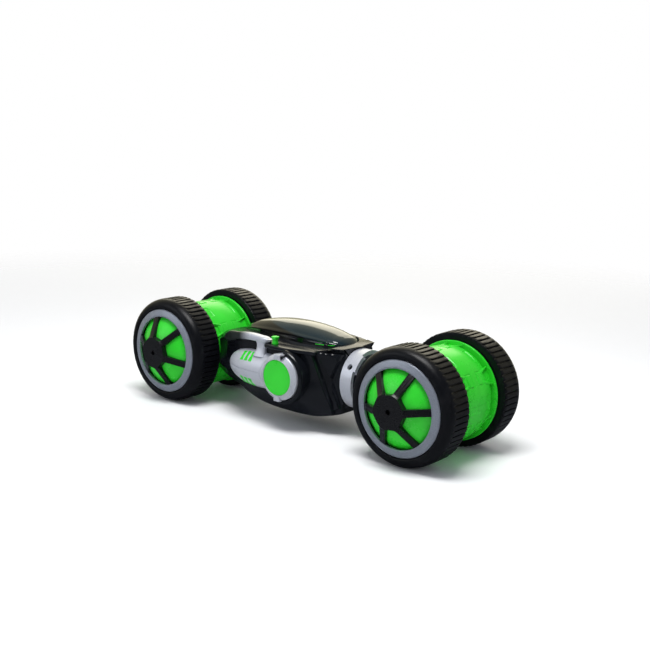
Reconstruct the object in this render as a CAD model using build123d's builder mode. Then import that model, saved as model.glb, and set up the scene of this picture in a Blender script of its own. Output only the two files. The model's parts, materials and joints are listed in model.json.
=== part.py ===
from build123d import *
import os
from math import cos, radians, sin, sqrt

# A radio controlled stunt car with a twisting neck.  +X is forwards, +Y is the car's left,
# +Z is up, and the origin is on the ground under the middle of the car.

# ---------------------------------------------------------------- driving dimensions, mm
# The car as a whole
wheelbase = 308.0            # front axle to rear axle
tyre_radius = 55.0           # the axles stand this high above the ground
wheel_inner = 30.0           # centre plane to the inner face of a tyre

# Wheels: every distance outwards is counted from the tyre's inner face
tyre_width = 31.2
tyre_section = 11.0          # tread to rim seat
tyre_wall = 3.0
tread_width = 22.0
shoulder_radius = 9.0
rib_count = 60
groove_depth = 1.4
groove_width = 2.2
rim_wall = 2.5
ring_width = 7.8
ring_thickness = 2.0
ring_lip = 0.9               # inner lip above the middle of the ring
ring_lap = 0.4               # trim ring over the tyre's bead
recess_drop = 1.4            # rim flange under the trim ring
dome_rise = 14.0
dome_wall = 1.6
spoke_count = 6
spoke_width = 6.6
spoke_stand = 4.6            # spokes above the dome
hub_corner = 18.0
hub_stand = 3.6              # hub face above the dome's top
hub_chamfer = 1.8
boss_radius = 9.0
boss_start = 14.0            # tyre's inner face to the boss's inner end
rim_start = 0.8              # tyre's inner face to the rim's inner edge
axle_radius = 2.0
axle_screw_bore = 2.5        # counterbore for the screw's head
axle_screw_radius = 1.0
axle_screw_depth = 6.0
axle_screw_head = 2.0

# Drum housings between the wheels
drum_gap = 1.5               # drum to tyre
drum_flange_radius = 48.0
drum_flange = 2.5
drum_barrel_radius = 45.0
drum_groove_radius = 42.5
drum_groove = 5.0            # groove's width, beside the flange
drum_wall = 2.5
drum_block_count = 8
drum_block_angle = 20.0
wire_hole_radius = 6.0
inner_wall_at = 15.0         # centre plane to the gearbox wall
inner_wall = 2.0
bush_radius = 4.0
bush_flange_radius = 5.5
bush_flange = 1.0

# Gears and motors
gear_module = 0.8
wheel_gear_teeth = 48
neck_gear_teeth = 40
pinion_teeth = 10
gear_thickness = 5.0
gear_side_gap = 1.5          # gear to the walls beside it
motor_radius = 12.0
motor_length = 27.0
motor_shaft_radius = 1.0
motor_nose_radius = 3.0
motor_cap = 2.0              # length of the narrower rear cap
shaft_bore = 10.0            # depth of the shaft's hole in the motor
shaft_grip = 8.0             # shaft inside the motor

# Neck
neck_reach = 92.0            # front axle back to the body's front face
collar_radius = 29.5
collar_wall = 4.0
collar_length = 15.5
neck_wall = 3.0
spigot_radius = 12.0
spigot_wall = 4.0
neck_gap = 0.6               # collar to body
collar_hole_radius = 2.9
neck_bush_wall = 3.0
collar_hole_angles = (34, 146)
collar_notch_length = 2.3    # along the car
collar_notch_depth = 5.9
collar_notch_width = 26.5
neck_bush_flange = 2.0
neck_bush_flange_length = 1.2

# Body shells; heights are counted from the axle plane
rear_reach = 58.0            # rear axle forward to the body's rear face
body_half_width = 38.0
body_wall = 2.4
deck_rear_height = 25.5
nose_plate = 1.5
belly_depth = 40.0
belly_rear_depth = 21.0
rear_face_depth = 18.0
saddle_height = 36.0
saddle_reach = 12.0          # saddle back beyond the drum's nearest point
nose_overhang = 3.4
shoulder_out = 5.0           # shoulder and side rail beyond the body's side
rail_thickness = 3.0
rail_heights = (-1.0, 5.5, 8.0)              # the rail's underside above the deck's rear edge
pylon_top = 9.6              # above the deck's rear edge
pylon_foot = 16.0            # above the axle plane
pylon_neck = 28.0
shoulder_foot = 6.0
saddle_half_width = 25.0
ledge_half_width = 50.0
ledge_thickness = 4.0
canopy_height = 18.0
canopy_half_width = 23.0
canopy_wall = 1.6
canopy_crest = 0.56          # highest point, as a share of the canopy's length
peg_size = 5.0
peg_height = 7.0

# Places along the body, as shares of its length from its rear face
taper_end, side_start, side_end = 0.05, 0.17, 0.84
belly_start, belly_end, belly_rise = 0.38, 0.74, 0.88
nacelle_nose, nacelle_full = 0.13, 0.42
rail_places = (0.07, 0.22, 0.36)
shoulder_rear, shoulder_dip = 0.02, 0.2
pylon_rear, pylon_front, rail_front = 0.41, 0.455, 0.50
ledge_rear, ledge_wide, ledge_taper, ledge_front = 0.46, 0.49, 0.68, 0.85
canopy_rear, canopy_front = 0.05, 0.92
plate_start, plate_corner = 0.93, 0.97
slots_place = 0.335
peg_place = 0.535
battery_place = 0.557
rear_screws, front_screws = 0.085, 0.79

# Side pods
pod_axis_out = 33.0          # centre plane to the nacelle's axis
nacelle_radius = 20.5
turbine_forward = 0.65       # share of the body's length, from its rear face
turbine_radius = 24.0
turbine_face = 58.0          # centre plane to the turbine's face
turbine_boss_radius = 26.5
turbine_boss = 6.0
cap_radius = 17.4
cap_thickness = 3.0
slot_pitch = 6.2
slot_width = 3.9
slot_length = 10.5
slot_depth = 2.0
slot_slant = 38.0            # how far round the nacelle the slots sit, degrees from level

# Inner equipment
battery_size = (40.0, 31.0, 16.0)
door_margin = 3.0
door_end = 7.0               # room for a screw at each end of the door
door_boss = 6.0              # height of the bosses for the door's screws
door_screw_head = 1.2
door_screw_length = 5.5
board_height = -12.0         # underside of the board, from the axle plane
board_inset = 3.0            # board posts in from the board's edges
board_size = (50.0, 36.0, 1.6)
switch_size = (13.0, 7.0, 6.0)
switch_travel = 4.0
screw_radius = 1.3
screw_head_radius = 2.6
screw_head = 2.0
screw_seat = 4.0             # head's seat above the belly
screw_bite = 9.0             # screw above the axle plane
screw_fit = 0.02             # screw inside its pilot hole
post_radius = 3.6

# Clearances
running = 0.05               # radial, shaft in bush
seat = 0.05                  # between pieces of one body that are fitted together
loose = 0.3                  # between pieces that pass each other

# ---------------------------------------------------------------- sizes that follow
axle_height = tyre_radius
front_axle_x = wheelbase / 2
rear_axle_x = -wheelbase / 2
rim_radius = tyre_radius - tyre_section
ring_outer = rim_radius + ring_lap
recess_radius = ring_outer - ring_width
ring_base = tyre_width - 1.4
ring_face = ring_base + ring_thickness
dome_base = ring_base - recess_drop - 0.4
dome_top = dome_base + dome_rise
dome_base_radius = recess_radius - 0.6
dome_sphere = (dome_base_radius ** 2 + dome_rise ** 2) / (2 * dome_rise)
hub_face = dome_top + hub_stand
axle_end = ring_face
drum_half_width = wheel_inner - drum_gap
axle_inner_end = inner_wall_at - 3.0
gear_at = inner_wall_at + inner_wall + gear_side_gap
wheel_gear_radius = gear_module * wheel_gear_teeth / 2
neck_gear_radius = gear_module * neck_gear_teeth / 2
pinion_radius = gear_module * pinion_teeth / 2
motor_offset = wheel_gear_radius + pinion_radius
twist_motor_offset = neck_gear_radius + pinion_radius
body_front = front_axle_x - neck_reach
body_rear = rear_axle_x + rear_reach
body_length = body_front - body_rear
turbine_x = body_rear + turbine_forward * body_length
collar_start = body_front + neck_gap
collar_end = collar_start + collar_length
neck_gear_at = body_front - 14.0
spigot_end = neck_gear_at - 2.0
neck_radius = collar_radius - collar_wall
motor_back = gear_side_gap + inner_wall
deck_front_height = collar_radius + 0.5 + nose_plate
ledge_top = deck_rear_height + 2.7
ledge_under = turbine_radius + 0.4


def along(share):
    """The place along X at this share of the body's length, from its rear face."""
    return body_rear + share * body_length


def deck_height(x):
    """Height of the deck above the axle plane: a straight slope from rear to front."""
    slope = (deck_front_height - deck_rear_height) / body_length
    return deck_rear_height + slope * (x - body_rear)


# ---------------------------------------------------------------- places inside the body
belly_wall_top = body_wall - belly_depth
battery_x = along(battery_place)
door_length = battery_size[0] + 2 * door_end
door_width = battery_size[1] + 2 * door_margin
door_screw_places = [(battery_x + end * (battery_size[0] + door_end) / 2, 0) for end in (1, -1)]
board_x = battery_x - battery_size[0] / 2 - board_size[0] / 2
board_posts = [(board_x + dx * (board_size[0] / 2 - board_inset), dy * (board_size[1] / 2 - board_inset))
               for dx in (1, -1) for dy in (1, -1)]
switch_x = battery_x + 8
switch_y = -(door_width / 2 + switch_size[1] / 2 + 4)
switch_carriage = (4.4, 3.0, 2.6)
switch_knob = (3.4, 2.0)
screw_places = [(along(rear_screws), side * 21) for side in (1, -1)]
screw_places += [(along(front_screws), side * 30) for side in (1, -1)]


# ---------------------------------------------------------------- planes
axle_plane = Plane.XY.offset(axle_height)
side_plane = Plane(origin=(0, 0, axle_height), x_dir=(1, 0, 0), z_dir=(0, -1, 0))


def section_plane(axle_x, side):
    """Half section of a wheel: x is the radius, y is the distance out from the centre plane."""
    return Plane(origin=(axle_x, 0, axle_height), x_dir=(1, 0, 0), z_dir=(0, 0, side))


def face_plane(axle_x, side, outward, up=0.0):
    """Plane square to an axle, at a distance out from the centre plane."""
    return Plane(origin=(axle_x, side * outward, axle_height + up), x_dir=(1, 0, 0), z_dir=(0, side, 0))


def cross_plane(x, up=0.0):
    """Plane square to the car's length, facing forwards: x is +Y, y is +Z."""
    return Plane(origin=(x, 0, axle_height + up), x_dir=(0, 1, 0), z_dir=(1, 0, 0))


def axle_line(axle_x):
    return Axis((axle_x, 0, axle_height), (0, 1, 0))


def save(part, name):
    part.label = name
    export_step(part, f"parts/{name}.step")


# ---------------------------------------------------------------- wheels
def make_tyre(axle_x, side):
    """Hollow rubber tyre, open to the rim, with grooves across the tread."""
    crown = tyre_radius
    inside = crown - tyre_wall - 0.5
    bulge = rim_radius + 4.0
    start = wheel_inner
    with BuildPart() as tyre:
        with BuildSketch(section_plane(axle_x, side)):
            with BuildLine():
                Polyline((rim_radius, start), (crown - 1, start), (crown, start + 1),
                         (crown, start + tread_width))
                ThreePointArc((crown, start + tread_width),
                              (crown - 0.24 * shoulder_radius,
                               start + tread_width + 0.66 * shoulder_radius),
                              (bulge, start + tyre_width))
                Polyline((bulge, start + tyre_width), (ring_outer + 0.4, start + ring_base),
                         (rim_radius, start + ring_base - 0.2), (rim_radius, start + ring_base - 2.4),
                         (rim_radius + 2.4, start + ring_base - 2.4), (inside, start + tread_width),
                         (inside, start + tyre_wall + 1), (rim_radius + 2.4, start + tyre_wall),
                         (rim_radius, start + tyre_wall), (rim_radius, start))
            make_face()
        revolve(axis=axle_line(axle_x))
        with BuildSketch(face_plane(axle_x, side, start - 1)):
            with PolarLocations(crown, rib_count):
                Rectangle(2 * groove_depth, groove_width)
        extrude(amount=tread_width + 1, mode=Mode.SUBTRACT)
    return tyre.part


def dome_out(radius, sphere=dome_sphere):
    """How far out the dome's surface stands at this radius, from the tyre's inner face."""
    return dome_top - dome_sphere + sqrt(sphere ** 2 - radius ** 2)


def make_dome(axle_x, side):
    """Green dome behind the spokes: a thin spherical cap with a hole for the hub's boss."""
    hole = boss_radius + seat
    edge = rim_radius - rim_wall - 0.8
    inner_sphere = dome_sphere - dome_wall
    middle = (hole + edge) / 2
    start = wheel_inner
    with BuildPart() as dome:
        with BuildSketch(section_plane(axle_x, side)):
            with BuildLine():
                ThreePointArc((hole, start + dome_out(hole)), (middle, start + dome_out(middle)),
                              (edge, start + dome_out(edge)))
                Line((edge, start + dome_out(edge)), (edge, start + dome_out(edge, inner_sphere)))
                ThreePointArc((edge, start + dome_out(edge, inner_sphere)),
                              (middle, start + dome_out(middle, inner_sphere)),
                              (hole, start + dome_out(hole, inner_sphere)))
                Line((hole, start + dome_out(hole, inner_sphere)), (hole, start + dome_out(hole)))
            make_face()
        revolve(axis=axle_line(axle_x))
    return dome.part


def make_rim(axle_x, side, turn):
    """Black rim: barrel and flange, six sloping spokes, and a hexagonal hub with a boss."""
    start = wheel_inner
    clear = dome_sphere + 0.15
    spoke_root = hub_corner
    spoke_tip = recess_radius
    web_end = recess_radius + 1.4
    middle = web_end / 2
    with BuildPart() as rim:
        with BuildSketch(section_plane(axle_x, side)):
            with BuildLine():
                Polyline((0, start + dome_out(0, clear)), (0, start + hub_face),
                         (hub_corner - hub_chamfer, start + hub_face),
                         (spoke_root, start + dome_out(spoke_root) + spoke_stand),
                         (spoke_tip, start + dome_out(spoke_tip) + spoke_stand),
                         (spoke_tip, start + ring_base), (web_end, start + ring_base),
                         (web_end, start + dome_out(web_end, clear)))
                ThreePointArc((web_end, start + dome_out(web_end, clear)),
                              (middle, start + dome_out(middle, clear)), (0, start + dome_out(0, clear)))
            make_face()
        revolve(axis=axle_line(axle_x))
        with BuildSketch(face_plane(axle_x, side, start)):
            RegularPolygon(hub_corner, spoke_count, rotation=turn)
            with PolarLocations(web_end / 2, spoke_count, start_angle=turn):
                Rectangle(web_end, spoke_width)
        extrude(amount=hub_face + 1, mode=Mode.INTERSECT)
        with BuildSketch(section_plane(axle_x, side)):
            with BuildLine():
                Polyline((rim_radius, start + rim_start), (rim_radius, start + ring_base),
                         (recess_radius, start + ring_base),
                         (recess_radius, start + ring_base - recess_drop),
                         (rim_radius - rim_wall, start + ring_base - recess_drop),
                         (rim_radius - rim_wall, start + rim_start), (rim_radius, start + rim_start))
            make_face()
        revolve(axis=axle_line(axle_x))
        with BuildSketch(face_plane(axle_x, side, start + boss_start)):
            Circle(boss_radius)
        extrude(amount=hub_face - boss_start - hub_chamfer)
        with BuildSketch(face_plane(axle_x, side, start + boss_start)):
            Circle(axle_radius)
        extrude(amount=axle_end - boss_start, mode=Mode.SUBTRACT)
        with BuildSketch(face_plane(axle_x, side, start + axle_end)):
            Circle(axle_screw_bore)
        extrude(amount=hub_face, mode=Mode.SUBTRACT)
    return rim.part


def make_trim_ring(axle_x, side):
    """Silver trim ring, proud at its inner lip and sloping down to the tyre."""
    start = wheel_inner
    with BuildPart() as ring:
        with BuildSketch(section_plane(axle_x, side)):
            with BuildLine():
                Polyline((recess_radius, start + ring_base), (recess_radius, start + ring_face + ring_lip),
                         (recess_radius + 1.2, start + ring_face + ring_lip),
                         (ring_outer, start + ring_face - 1),
                         (ring_outer, start + ring_base), (recess_radius, start + ring_base))
            make_face()
        revolve(axis=axle_line(axle_x))
    return ring.part


def make_axle(axle_x, side):
    """Steel axle with a drilled outer end, and the screw and washer that hold the wheel."""
    length = wheel_inner + axle_end - axle_inner_end
    with BuildPart() as axle:
        with BuildSketch(face_plane(axle_x, side, axle_inner_end)):
            Circle(axle_radius)
        extrude(amount=length)
        with BuildSketch(face_plane(axle_x, side, wheel_inner + axle_end)):
            Circle(axle_screw_radius)
        extrude(amount=-axle_screw_depth - 0.5, mode=Mode.SUBTRACT)
        with BuildSketch(face_plane(axle_x, side, wheel_inner + axle_end + screw_fit)):
            Circle(axle_screw_bore - 0.1)
        extrude(amount=axle_screw_head)
        with BuildSketch(face_plane(axle_x, side, wheel_inner + axle_end + screw_fit)):
            Circle(axle_screw_radius - screw_fit)
        extrude(amount=-axle_screw_depth)
    return axle.part


# ---------------------------------------------------------------- gears, pinions and motors
def tooth_ring(teeth):
    """Gear outline: a root disc with one straight-sided tooth at each step around it."""
    pitch = gear_module * teeth / 2
    root = pitch - 1.25 * gear_module
    tip = pitch + 0.95 * gear_module
    root_half = 0.84 * gear_module
    tip_half = 0.30 * gear_module
    Circle(root)
    with PolarLocations(0, teeth):
        Polygon((root - 0.4, -root_half), (tip, -tip_half), (tip, tip_half), (root - 0.4, root_half),
                align=None)


def make_gear(plane, teeth, bore):
    with BuildPart() as gear:
        with BuildSketch(plane):
            tooth_ring(teeth)
            Circle(bore, mode=Mode.SUBTRACT)
        extrude(amount=gear_thickness)
    return gear.part


def make_pinion(plane, shaft_reach):
    """Pinion and the motor shaft that carries it; the shaft runs back into the motor."""
    with BuildPart() as pinion:
        with BuildSketch(plane):
            tooth_ring(pinion_teeth)
        extrude(amount=gear_thickness)
        with BuildSketch(plane):
            Circle(motor_shaft_radius)
        extrude(amount=-shaft_reach)
    return pinion.part


def make_motor(plane):
    """Motor can behind its mounting plane, with a nose, a shaft bore and a rear cap."""
    nose = inner_wall - 0.2
    with BuildPart() as motor:
        with BuildSketch(plane):
            Circle(motor_radius)
        extrude(amount=motor_cap - motor_length)
        with BuildSketch(plane.offset(motor_cap - motor_length)):
            Circle(motor_radius - 1.5)
        extrude(amount=-motor_cap)
        with BuildSketch(plane):
            Circle(motor_nose_radius)
        extrude(amount=nose)
        with BuildSketch(plane.offset(nose)):
            Circle(motor_shaft_radius + running)
        extrude(amount=-shaft_bore - nose, mode=Mode.SUBTRACT)
    return motor.part


# ---------------------------------------------------------------- drum housings
def bush_group(axle_x):
    """Four flanged bushes: one in each gearbox wall and one in each end wall."""
    with BuildPart() as bushes:
        for side in (1, -1):
            for at, wall in ((inner_wall_at, inner_wall), (drum_half_width - drum_flange, drum_flange)):
                with BuildSketch(face_plane(axle_x, side, at)):
                    Circle(bush_radius)
                    Circle(axle_radius + running, mode=Mode.SUBTRACT)
                extrude(amount=wall)
                with BuildSketch(face_plane(axle_x, side, at)):
                    Circle(bush_flange_radius)
                    Circle(axle_radius + running, mode=Mode.SUBTRACT)
                extrude(amount=-bush_flange)
    return bushes.part


def make_drum_half(axle_x, keep, wire_side):
    """Half of a drum: crowned barrel, grooves and flanges, end walls and gearbox walls."""
    half = drum_half_width
    groove_out = half - drum_flange
    groove_in = groove_out - drum_groove
    inside = drum_barrel_radius - drum_wall
    groove_inside = drum_groove_radius - drum_wall
    outline = [(0, half), (drum_flange_radius, half), (drum_flange_radius, groove_out),
               (drum_groove_radius, groove_out), (drum_groove_radius, groove_in),
               (drum_barrel_radius, groove_in)]
    cavity = [(0, groove_out), (groove_inside, groove_out), (groove_inside, groove_in - drum_wall),
              (inside, groove_in - drum_wall)]
    with BuildPart() as drum:
        for points, mode in ((outline, Mode.ADD), (cavity, Mode.SUBTRACT)):
            mirrored = [(r, -w) for r, w in reversed(points)]
            with BuildSketch(section_plane(axle_x, 1)):
                with BuildLine():
                    Polyline(*points, *mirrored, close=True)
                make_face()
            revolve(axis=axle_line(axle_x), mode=mode)
        with BuildSketch(face_plane(axle_x, 1, 0)):
            with PolarLocations(0, drum_block_count, start_angle=180 / drum_block_count):
                block = radians(drum_block_angle / 2)
                inner, outer = groove_inside + 1, drum_barrel_radius
                Polygon((inner * cos(block), -inner * sin(block)),
                        (outer * cos(block), -outer * sin(block)),
                        (outer, 0), (outer * cos(block), outer * sin(block)),
                        (inner * cos(block), inner * sin(block)), align=None)
        extrude(amount=groove_out, both=True)
        for side in (1, -1):
            with BuildSketch(face_plane(axle_x, side, inner_wall_at)):
                Circle(inside + 0.5)
            extrude(amount=inner_wall)
            with BuildSketch(face_plane(axle_x, side, inner_wall_at, side * motor_offset)):
                Circle(motor_nose_radius + seat)
            extrude(amount=inner_wall, mode=Mode.SUBTRACT)
        with BuildSketch(face_plane(axle_x, 1, 0)):
            Circle(bush_radius)
        extrude(amount=half, both=True, mode=Mode.SUBTRACT)
        wire_at = axle_x + wire_side * drum_barrel_radius
        with BuildSketch(cross_plane(wire_at)):
            Circle(wire_hole_radius)
        extrude(amount=2 * wire_hole_radius, both=True, mode=Mode.SUBTRACT)
        split(bisect_by=axle_plane, keep=keep)
    return drum.part


# ---------------------------------------------------------------- neck
def drum_space(axle_x):
    """The space that a drum's barrel fills, to be cut from what seats on it."""
    with BuildPart() as space:
        with BuildSketch(face_plane(axle_x, 1, 0)):
            Circle(drum_barrel_radius + seat)
        extrude(amount=drum_half_width, both=True)
    return space.part


def make_neck_tube():
    """Silver neck from the body to the front drum, with a hollow spigot into the body."""
    wall_at = collar_start + 1.0
    tube_end = front_axle_x - sqrt(drum_barrel_radius ** 2 - neck_radius ** 2)
    with BuildPart() as tube:
        with BuildSketch(cross_plane(wall_at)):
            Circle(neck_radius)
        extrude(amount=tube_end - wall_at)
        with BuildSketch(cross_plane(wall_at + neck_wall)):
            Circle(neck_radius - neck_wall)
        extrude(amount=tube_end, mode=Mode.SUBTRACT)
        with BuildSketch(cross_plane(spigot_end)):
            Circle(spigot_radius)
        extrude(amount=wall_at + neck_wall - spigot_end)
        with BuildSketch(cross_plane(spigot_end)):
            Circle(spigot_radius - spigot_wall)
        extrude(amount=wall_at + neck_wall - spigot_end, mode=Mode.SUBTRACT)
        add(drum_space(front_axle_x), mode=Mode.SUBTRACT)
    return tube.part


def make_neck_collar():
    """Silver collar around the neck, with screw holes and two notches in its front edge."""
    with BuildPart() as collar:
        with BuildSketch(cross_plane(collar_start)):
            Circle(collar_radius)
            Circle(neck_radius + seat, mode=Mode.SUBTRACT)
        extrude(amount=collar_length)
        with BuildSketch(cross_plane(collar_end)):
            with PolarLocations(collar_radius, 4, start_angle=0):
                Rectangle(2 * collar_notch_depth, collar_notch_width)
        extrude(amount=-collar_notch_length, mode=Mode.SUBTRACT)
        for angle in collar_hole_angles:
            hole = Plane(origin=(collar_start + collar_length / 2, 0, axle_height), x_dir=(1, 0, 0),
                         z_dir=(0, cos(radians(angle)), sin(radians(angle))))
            with BuildSketch(hole):
                Circle(collar_hole_radius)
            extrude(amount=collar_radius + 1, mode=Mode.SUBTRACT)
    return collar.part


def make_neck_bush():
    """Bush in the body's front wall that carries the spigot."""
    wall = 2 * body_wall
    with BuildPart() as bush:
        with BuildSketch(cross_plane(body_front)):
            Circle(spigot_radius + neck_bush_wall)
            Circle(spigot_radius + running, mode=Mode.SUBTRACT)
        extrude(amount=-wall)
        with BuildSketch(cross_plane(body_front - wall)):
            Circle(spigot_radius + neck_bush_wall + neck_bush_flange)
            Circle(spigot_radius + running, mode=Mode.SUBTRACT)
        extrude(amount=-neck_bush_flange_length)
    return bush.part


# ---------------------------------------------------------------- body shells
def body_block(inset):
    """The body as a block: the side outline's prism cut to the plan outline, less a wall."""
    half = [(along(0), saddle_half_width), (along(taper_end), saddle_half_width + shoulder_out),
            (along(side_start), body_half_width), (along(side_end), body_half_width),
            (along(1), collar_radius - 2.5)]
    mirrored = [(x, -y) for x, y in reversed(half)]
    with BuildPart() as block:
        with BuildSketch(side_plane):
            with BuildLine():
                Polyline((along(0), -rear_face_depth), (along(0), deck_height(along(0)) - 6),
                         (along(taper_end), deck_height(along(taper_end))),
                         (along(1), deck_height(along(1))), (along(1), 2 - collar_radius),
                         (along(belly_rise), 3 - belly_depth), (along(belly_end), -belly_depth),
                         (along(belly_start), -belly_depth), (along(taper_end), -belly_rear_depth),
                         close=True)
            make_face()
            if inset:
                offset(amount=-inset, kind=Kind.INTERSECTION, mode=Mode.REPLACE)
        extrude(amount=ledge_half_width, both=True)
        with BuildSketch(axle_plane):
            with BuildLine():
                Polyline(*half, *mirrored, close=True)
            make_face()
            if inset:
                offset(amount=-inset, kind=Kind.INTERSECTION, mode=Mode.REPLACE)
        extrude(amount=2 * belly_depth, both=True, mode=Mode.INTERSECT)
    return block.part


def belly_height(x):
    """Height of the belly's outer face at this place, counted from the axle plane."""
    rear_share = (x - along(taper_end)) / (along(belly_start) - along(taper_end))
    return -belly_rear_depth - (belly_depth - belly_rear_depth) * min(max(rear_share, 0), 1)


def nacelle_solid(side, grow):
    """Bullet shape along the car: a quarter ellipse, then a straight run, turned about its axis."""
    nose = along(nacelle_nose)
    full = along(nacelle_full)
    axis_plane = Plane(origin=(0, side * pod_axis_out, axle_height), x_dir=(1, 0, 0), z_dir=(0, -1, 0))
    with BuildPart() as nacelle:
        with BuildSketch(axis_plane):
            with BuildLine():
                EllipticalCenterArc((full, 0), full - nose + grow, nacelle_radius + grow, 90, arc_size=90)
                Polyline((nose - grow, 0), (turbine_x, 0), (turbine_x, nacelle_radius + grow),
                         (full, nacelle_radius + grow))
            make_face()
        revolve(axis=Axis((0, side * pod_axis_out, axle_height), (1, 0, 0)))
    return nacelle.part


def rail_line(lift):
    """Points of the shoulder's top edge, raised by a height, as (x, height)."""
    return [(along(share), deck_rear_height + height + lift)
            for share, height in zip(rail_places, rail_heights)]


def make_shell(block, cavity, keep):
    """One half of the body shell, split at the axle plane, with its saddle, bosses and posts."""
    upper = keep == Keep.TOP
    bush_hole = spigot_radius + neck_bush_wall + seat
    with BuildPart() as shell:
        add(block)
        with BuildSketch(cross_plane(along(0))):
            Rectangle(2 * saddle_half_width, saddle_height)
        extrude(amount=saddle_reach - rear_reach)
        for side in (1, -1):
            with BuildSketch(face_plane(turbine_x, side, body_half_width - 4)):
                Circle(turbine_boss_radius)
                with Locations((-turbine_boss_radius, 0)):
                    Rectangle(2 * turbine_boss_radius, 2 * turbine_boss_radius, mode=Mode.SUBTRACT)
            extrude(amount=turbine_boss + 4 + 2)
            if upper:
                with BuildSketch(face_plane(0, side, body_half_width - 3)):
                    with BuildLine():
                        shoulder = [(along(shoulder_rear), shoulder_foot), (along(shoulder_rear), 20),
                                    *rail_line(0),
                                    (along(pylon_rear), deck_rear_height + rail_heights[-1] - 0.4),
                                    (along(pylon_rear), 22), (along(shoulder_dip), shoulder_foot)]
                        Polyline(*[(x, -side * z) for x, z in shoulder], close=True)
                    make_face()
                extrude(amount=shoulder_out + 3)
                with BuildSketch(axle_plane.offset(ledge_under)):
                    with BuildLine():
                        Polyline((along(ledge_rear), side * (body_half_width - 2)),
                                 (along(ledge_rear), side * (ledge_half_width - shoulder_out)),
                                 (along(ledge_wide), side * ledge_half_width),
                                 (along(ledge_taper), side * ledge_half_width),
                                 (along(ledge_front), side * body_half_width),
                                 (along(ledge_front), side * (body_half_width - 2)), close=True)
                    make_face()
                extrude(amount=ledge_top - ledge_under)
        if upper:
            with BuildSketch(axle_plane.offset(deck_front_height - nose_plate)):
                with BuildLine():
                    Polyline((along(plate_start), 30), (along(plate_corner), 28),
                             (body_front + nose_overhang, 0), (along(plate_corner), -28),
                             (along(plate_start), -30), close=True)
                make_face()
            extrude(amount=nose_plate)
        add(cavity, mode=Mode.SUBTRACT)
        with BuildSketch(cross_plane(body_front)):
            Circle(bush_hole + 4)
        extrude(amount=-2 * body_wall)
        with BuildSketch(cross_plane(body_front)):
            Circle(bush_hole)
        extrude(amount=-3 * body_wall, mode=Mode.SUBTRACT)
        for side in (1, -1):
            add(nacelle_solid(side, seat), mode=Mode.SUBTRACT)
            with BuildSketch(face_plane(turbine_x, side, body_half_width)):
                Circle(turbine_radius + seat)
            extrude(amount=turbine_face, mode=Mode.SUBTRACT)
        for x, y in screw_places:
            bottom = belly_height(x) + 1
            with BuildSketch(axle_plane.offset(bottom)):
                with Locations((x, y)):
                    Circle(post_radius)
            extrude(amount=deck_height(x) - 1 - bottom)
            with BuildSketch(axle_plane.offset(belly_height(x) - 4)):
                with Locations((x, y)):
                    Circle(screw_head_radius + seat)
            extrude(amount=4 + screw_seat, mode=Mode.SUBTRACT)
            with BuildSketch(axle_plane.offset(belly_height(x))):
                with Locations((x, y)):
                    Circle(screw_radius + 0.2)
            extrude(amount=-belly_height(x), mode=Mode.SUBTRACT)
            with BuildSketch(axle_plane):
                with Locations((x, y)):
                    Circle(screw_radius)
            extrude(amount=screw_bite, mode=Mode.SUBTRACT)
        add(drum_space(rear_axle_x), mode=Mode.SUBTRACT)
        split(bisect_by=axle_plane, keep=keep)
        if not upper:
            add(belly_fittings())
            add(belly_openings(), mode=Mode.SUBTRACT)
    return shell.part


def belly_fittings():
    """What stands on the lower shell's floor: door screw bosses, board posts, motor plate."""
    with BuildPart() as fittings:
        with BuildSketch(axle_plane.offset(belly_wall_top - 1)):
            with Locations(*door_screw_places):
                Circle(post_radius - 0.6)
        extrude(amount=door_boss)
        for x, y in board_posts:
            with BuildSketch(axle_plane.offset(belly_height(x) + 1)):
                with Locations((x, y)):
                    Circle(post_radius - 1.4)
            extrude(amount=board_height - belly_height(x) - 1)
        plate_top = -spigot_radius - 1
        with BuildSketch(cross_plane(neck_gear_at - motor_back)):
            with Locations((0, (plate_top + belly_wall_top + 1) / 2)):
                Rectangle(2 * motor_radius, plate_top - belly_wall_top - 1)
        extrude(amount=inner_wall)
    return fittings.part


def belly_openings():
    """What is cut through the floor and the plate: battery opening, switch slot, screw holes."""
    with BuildPart() as openings:
        with BuildSketch(axle_plane.offset(-belly_depth - 1)):
            with Locations((battery_x, 0)):
                Rectangle(door_length + 2 * seat, door_width + 2 * seat)
        extrude(amount=1 + body_wall / 2)
        with BuildSketch(axle_plane.offset(-belly_depth)):
            with Locations((battery_x, 0)):
                Rectangle(battery_size[0] + 0.4, battery_size[1] + 0.4)
            with Locations(*door_screw_places):
                Circle(screw_radius)
            with Locations((switch_x, switch_y)):
                Rectangle(switch_knob[0] + switch_travel + 4 * loose, switch_knob[1] + 2 * loose)
        extrude(amount=body_wall + 4)
        with BuildSketch(cross_plane(neck_gear_at - motor_back, -twist_motor_offset)):
            Circle(motor_nose_radius + seat)
        extrude(amount=inner_wall)
    return openings.part


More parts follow.
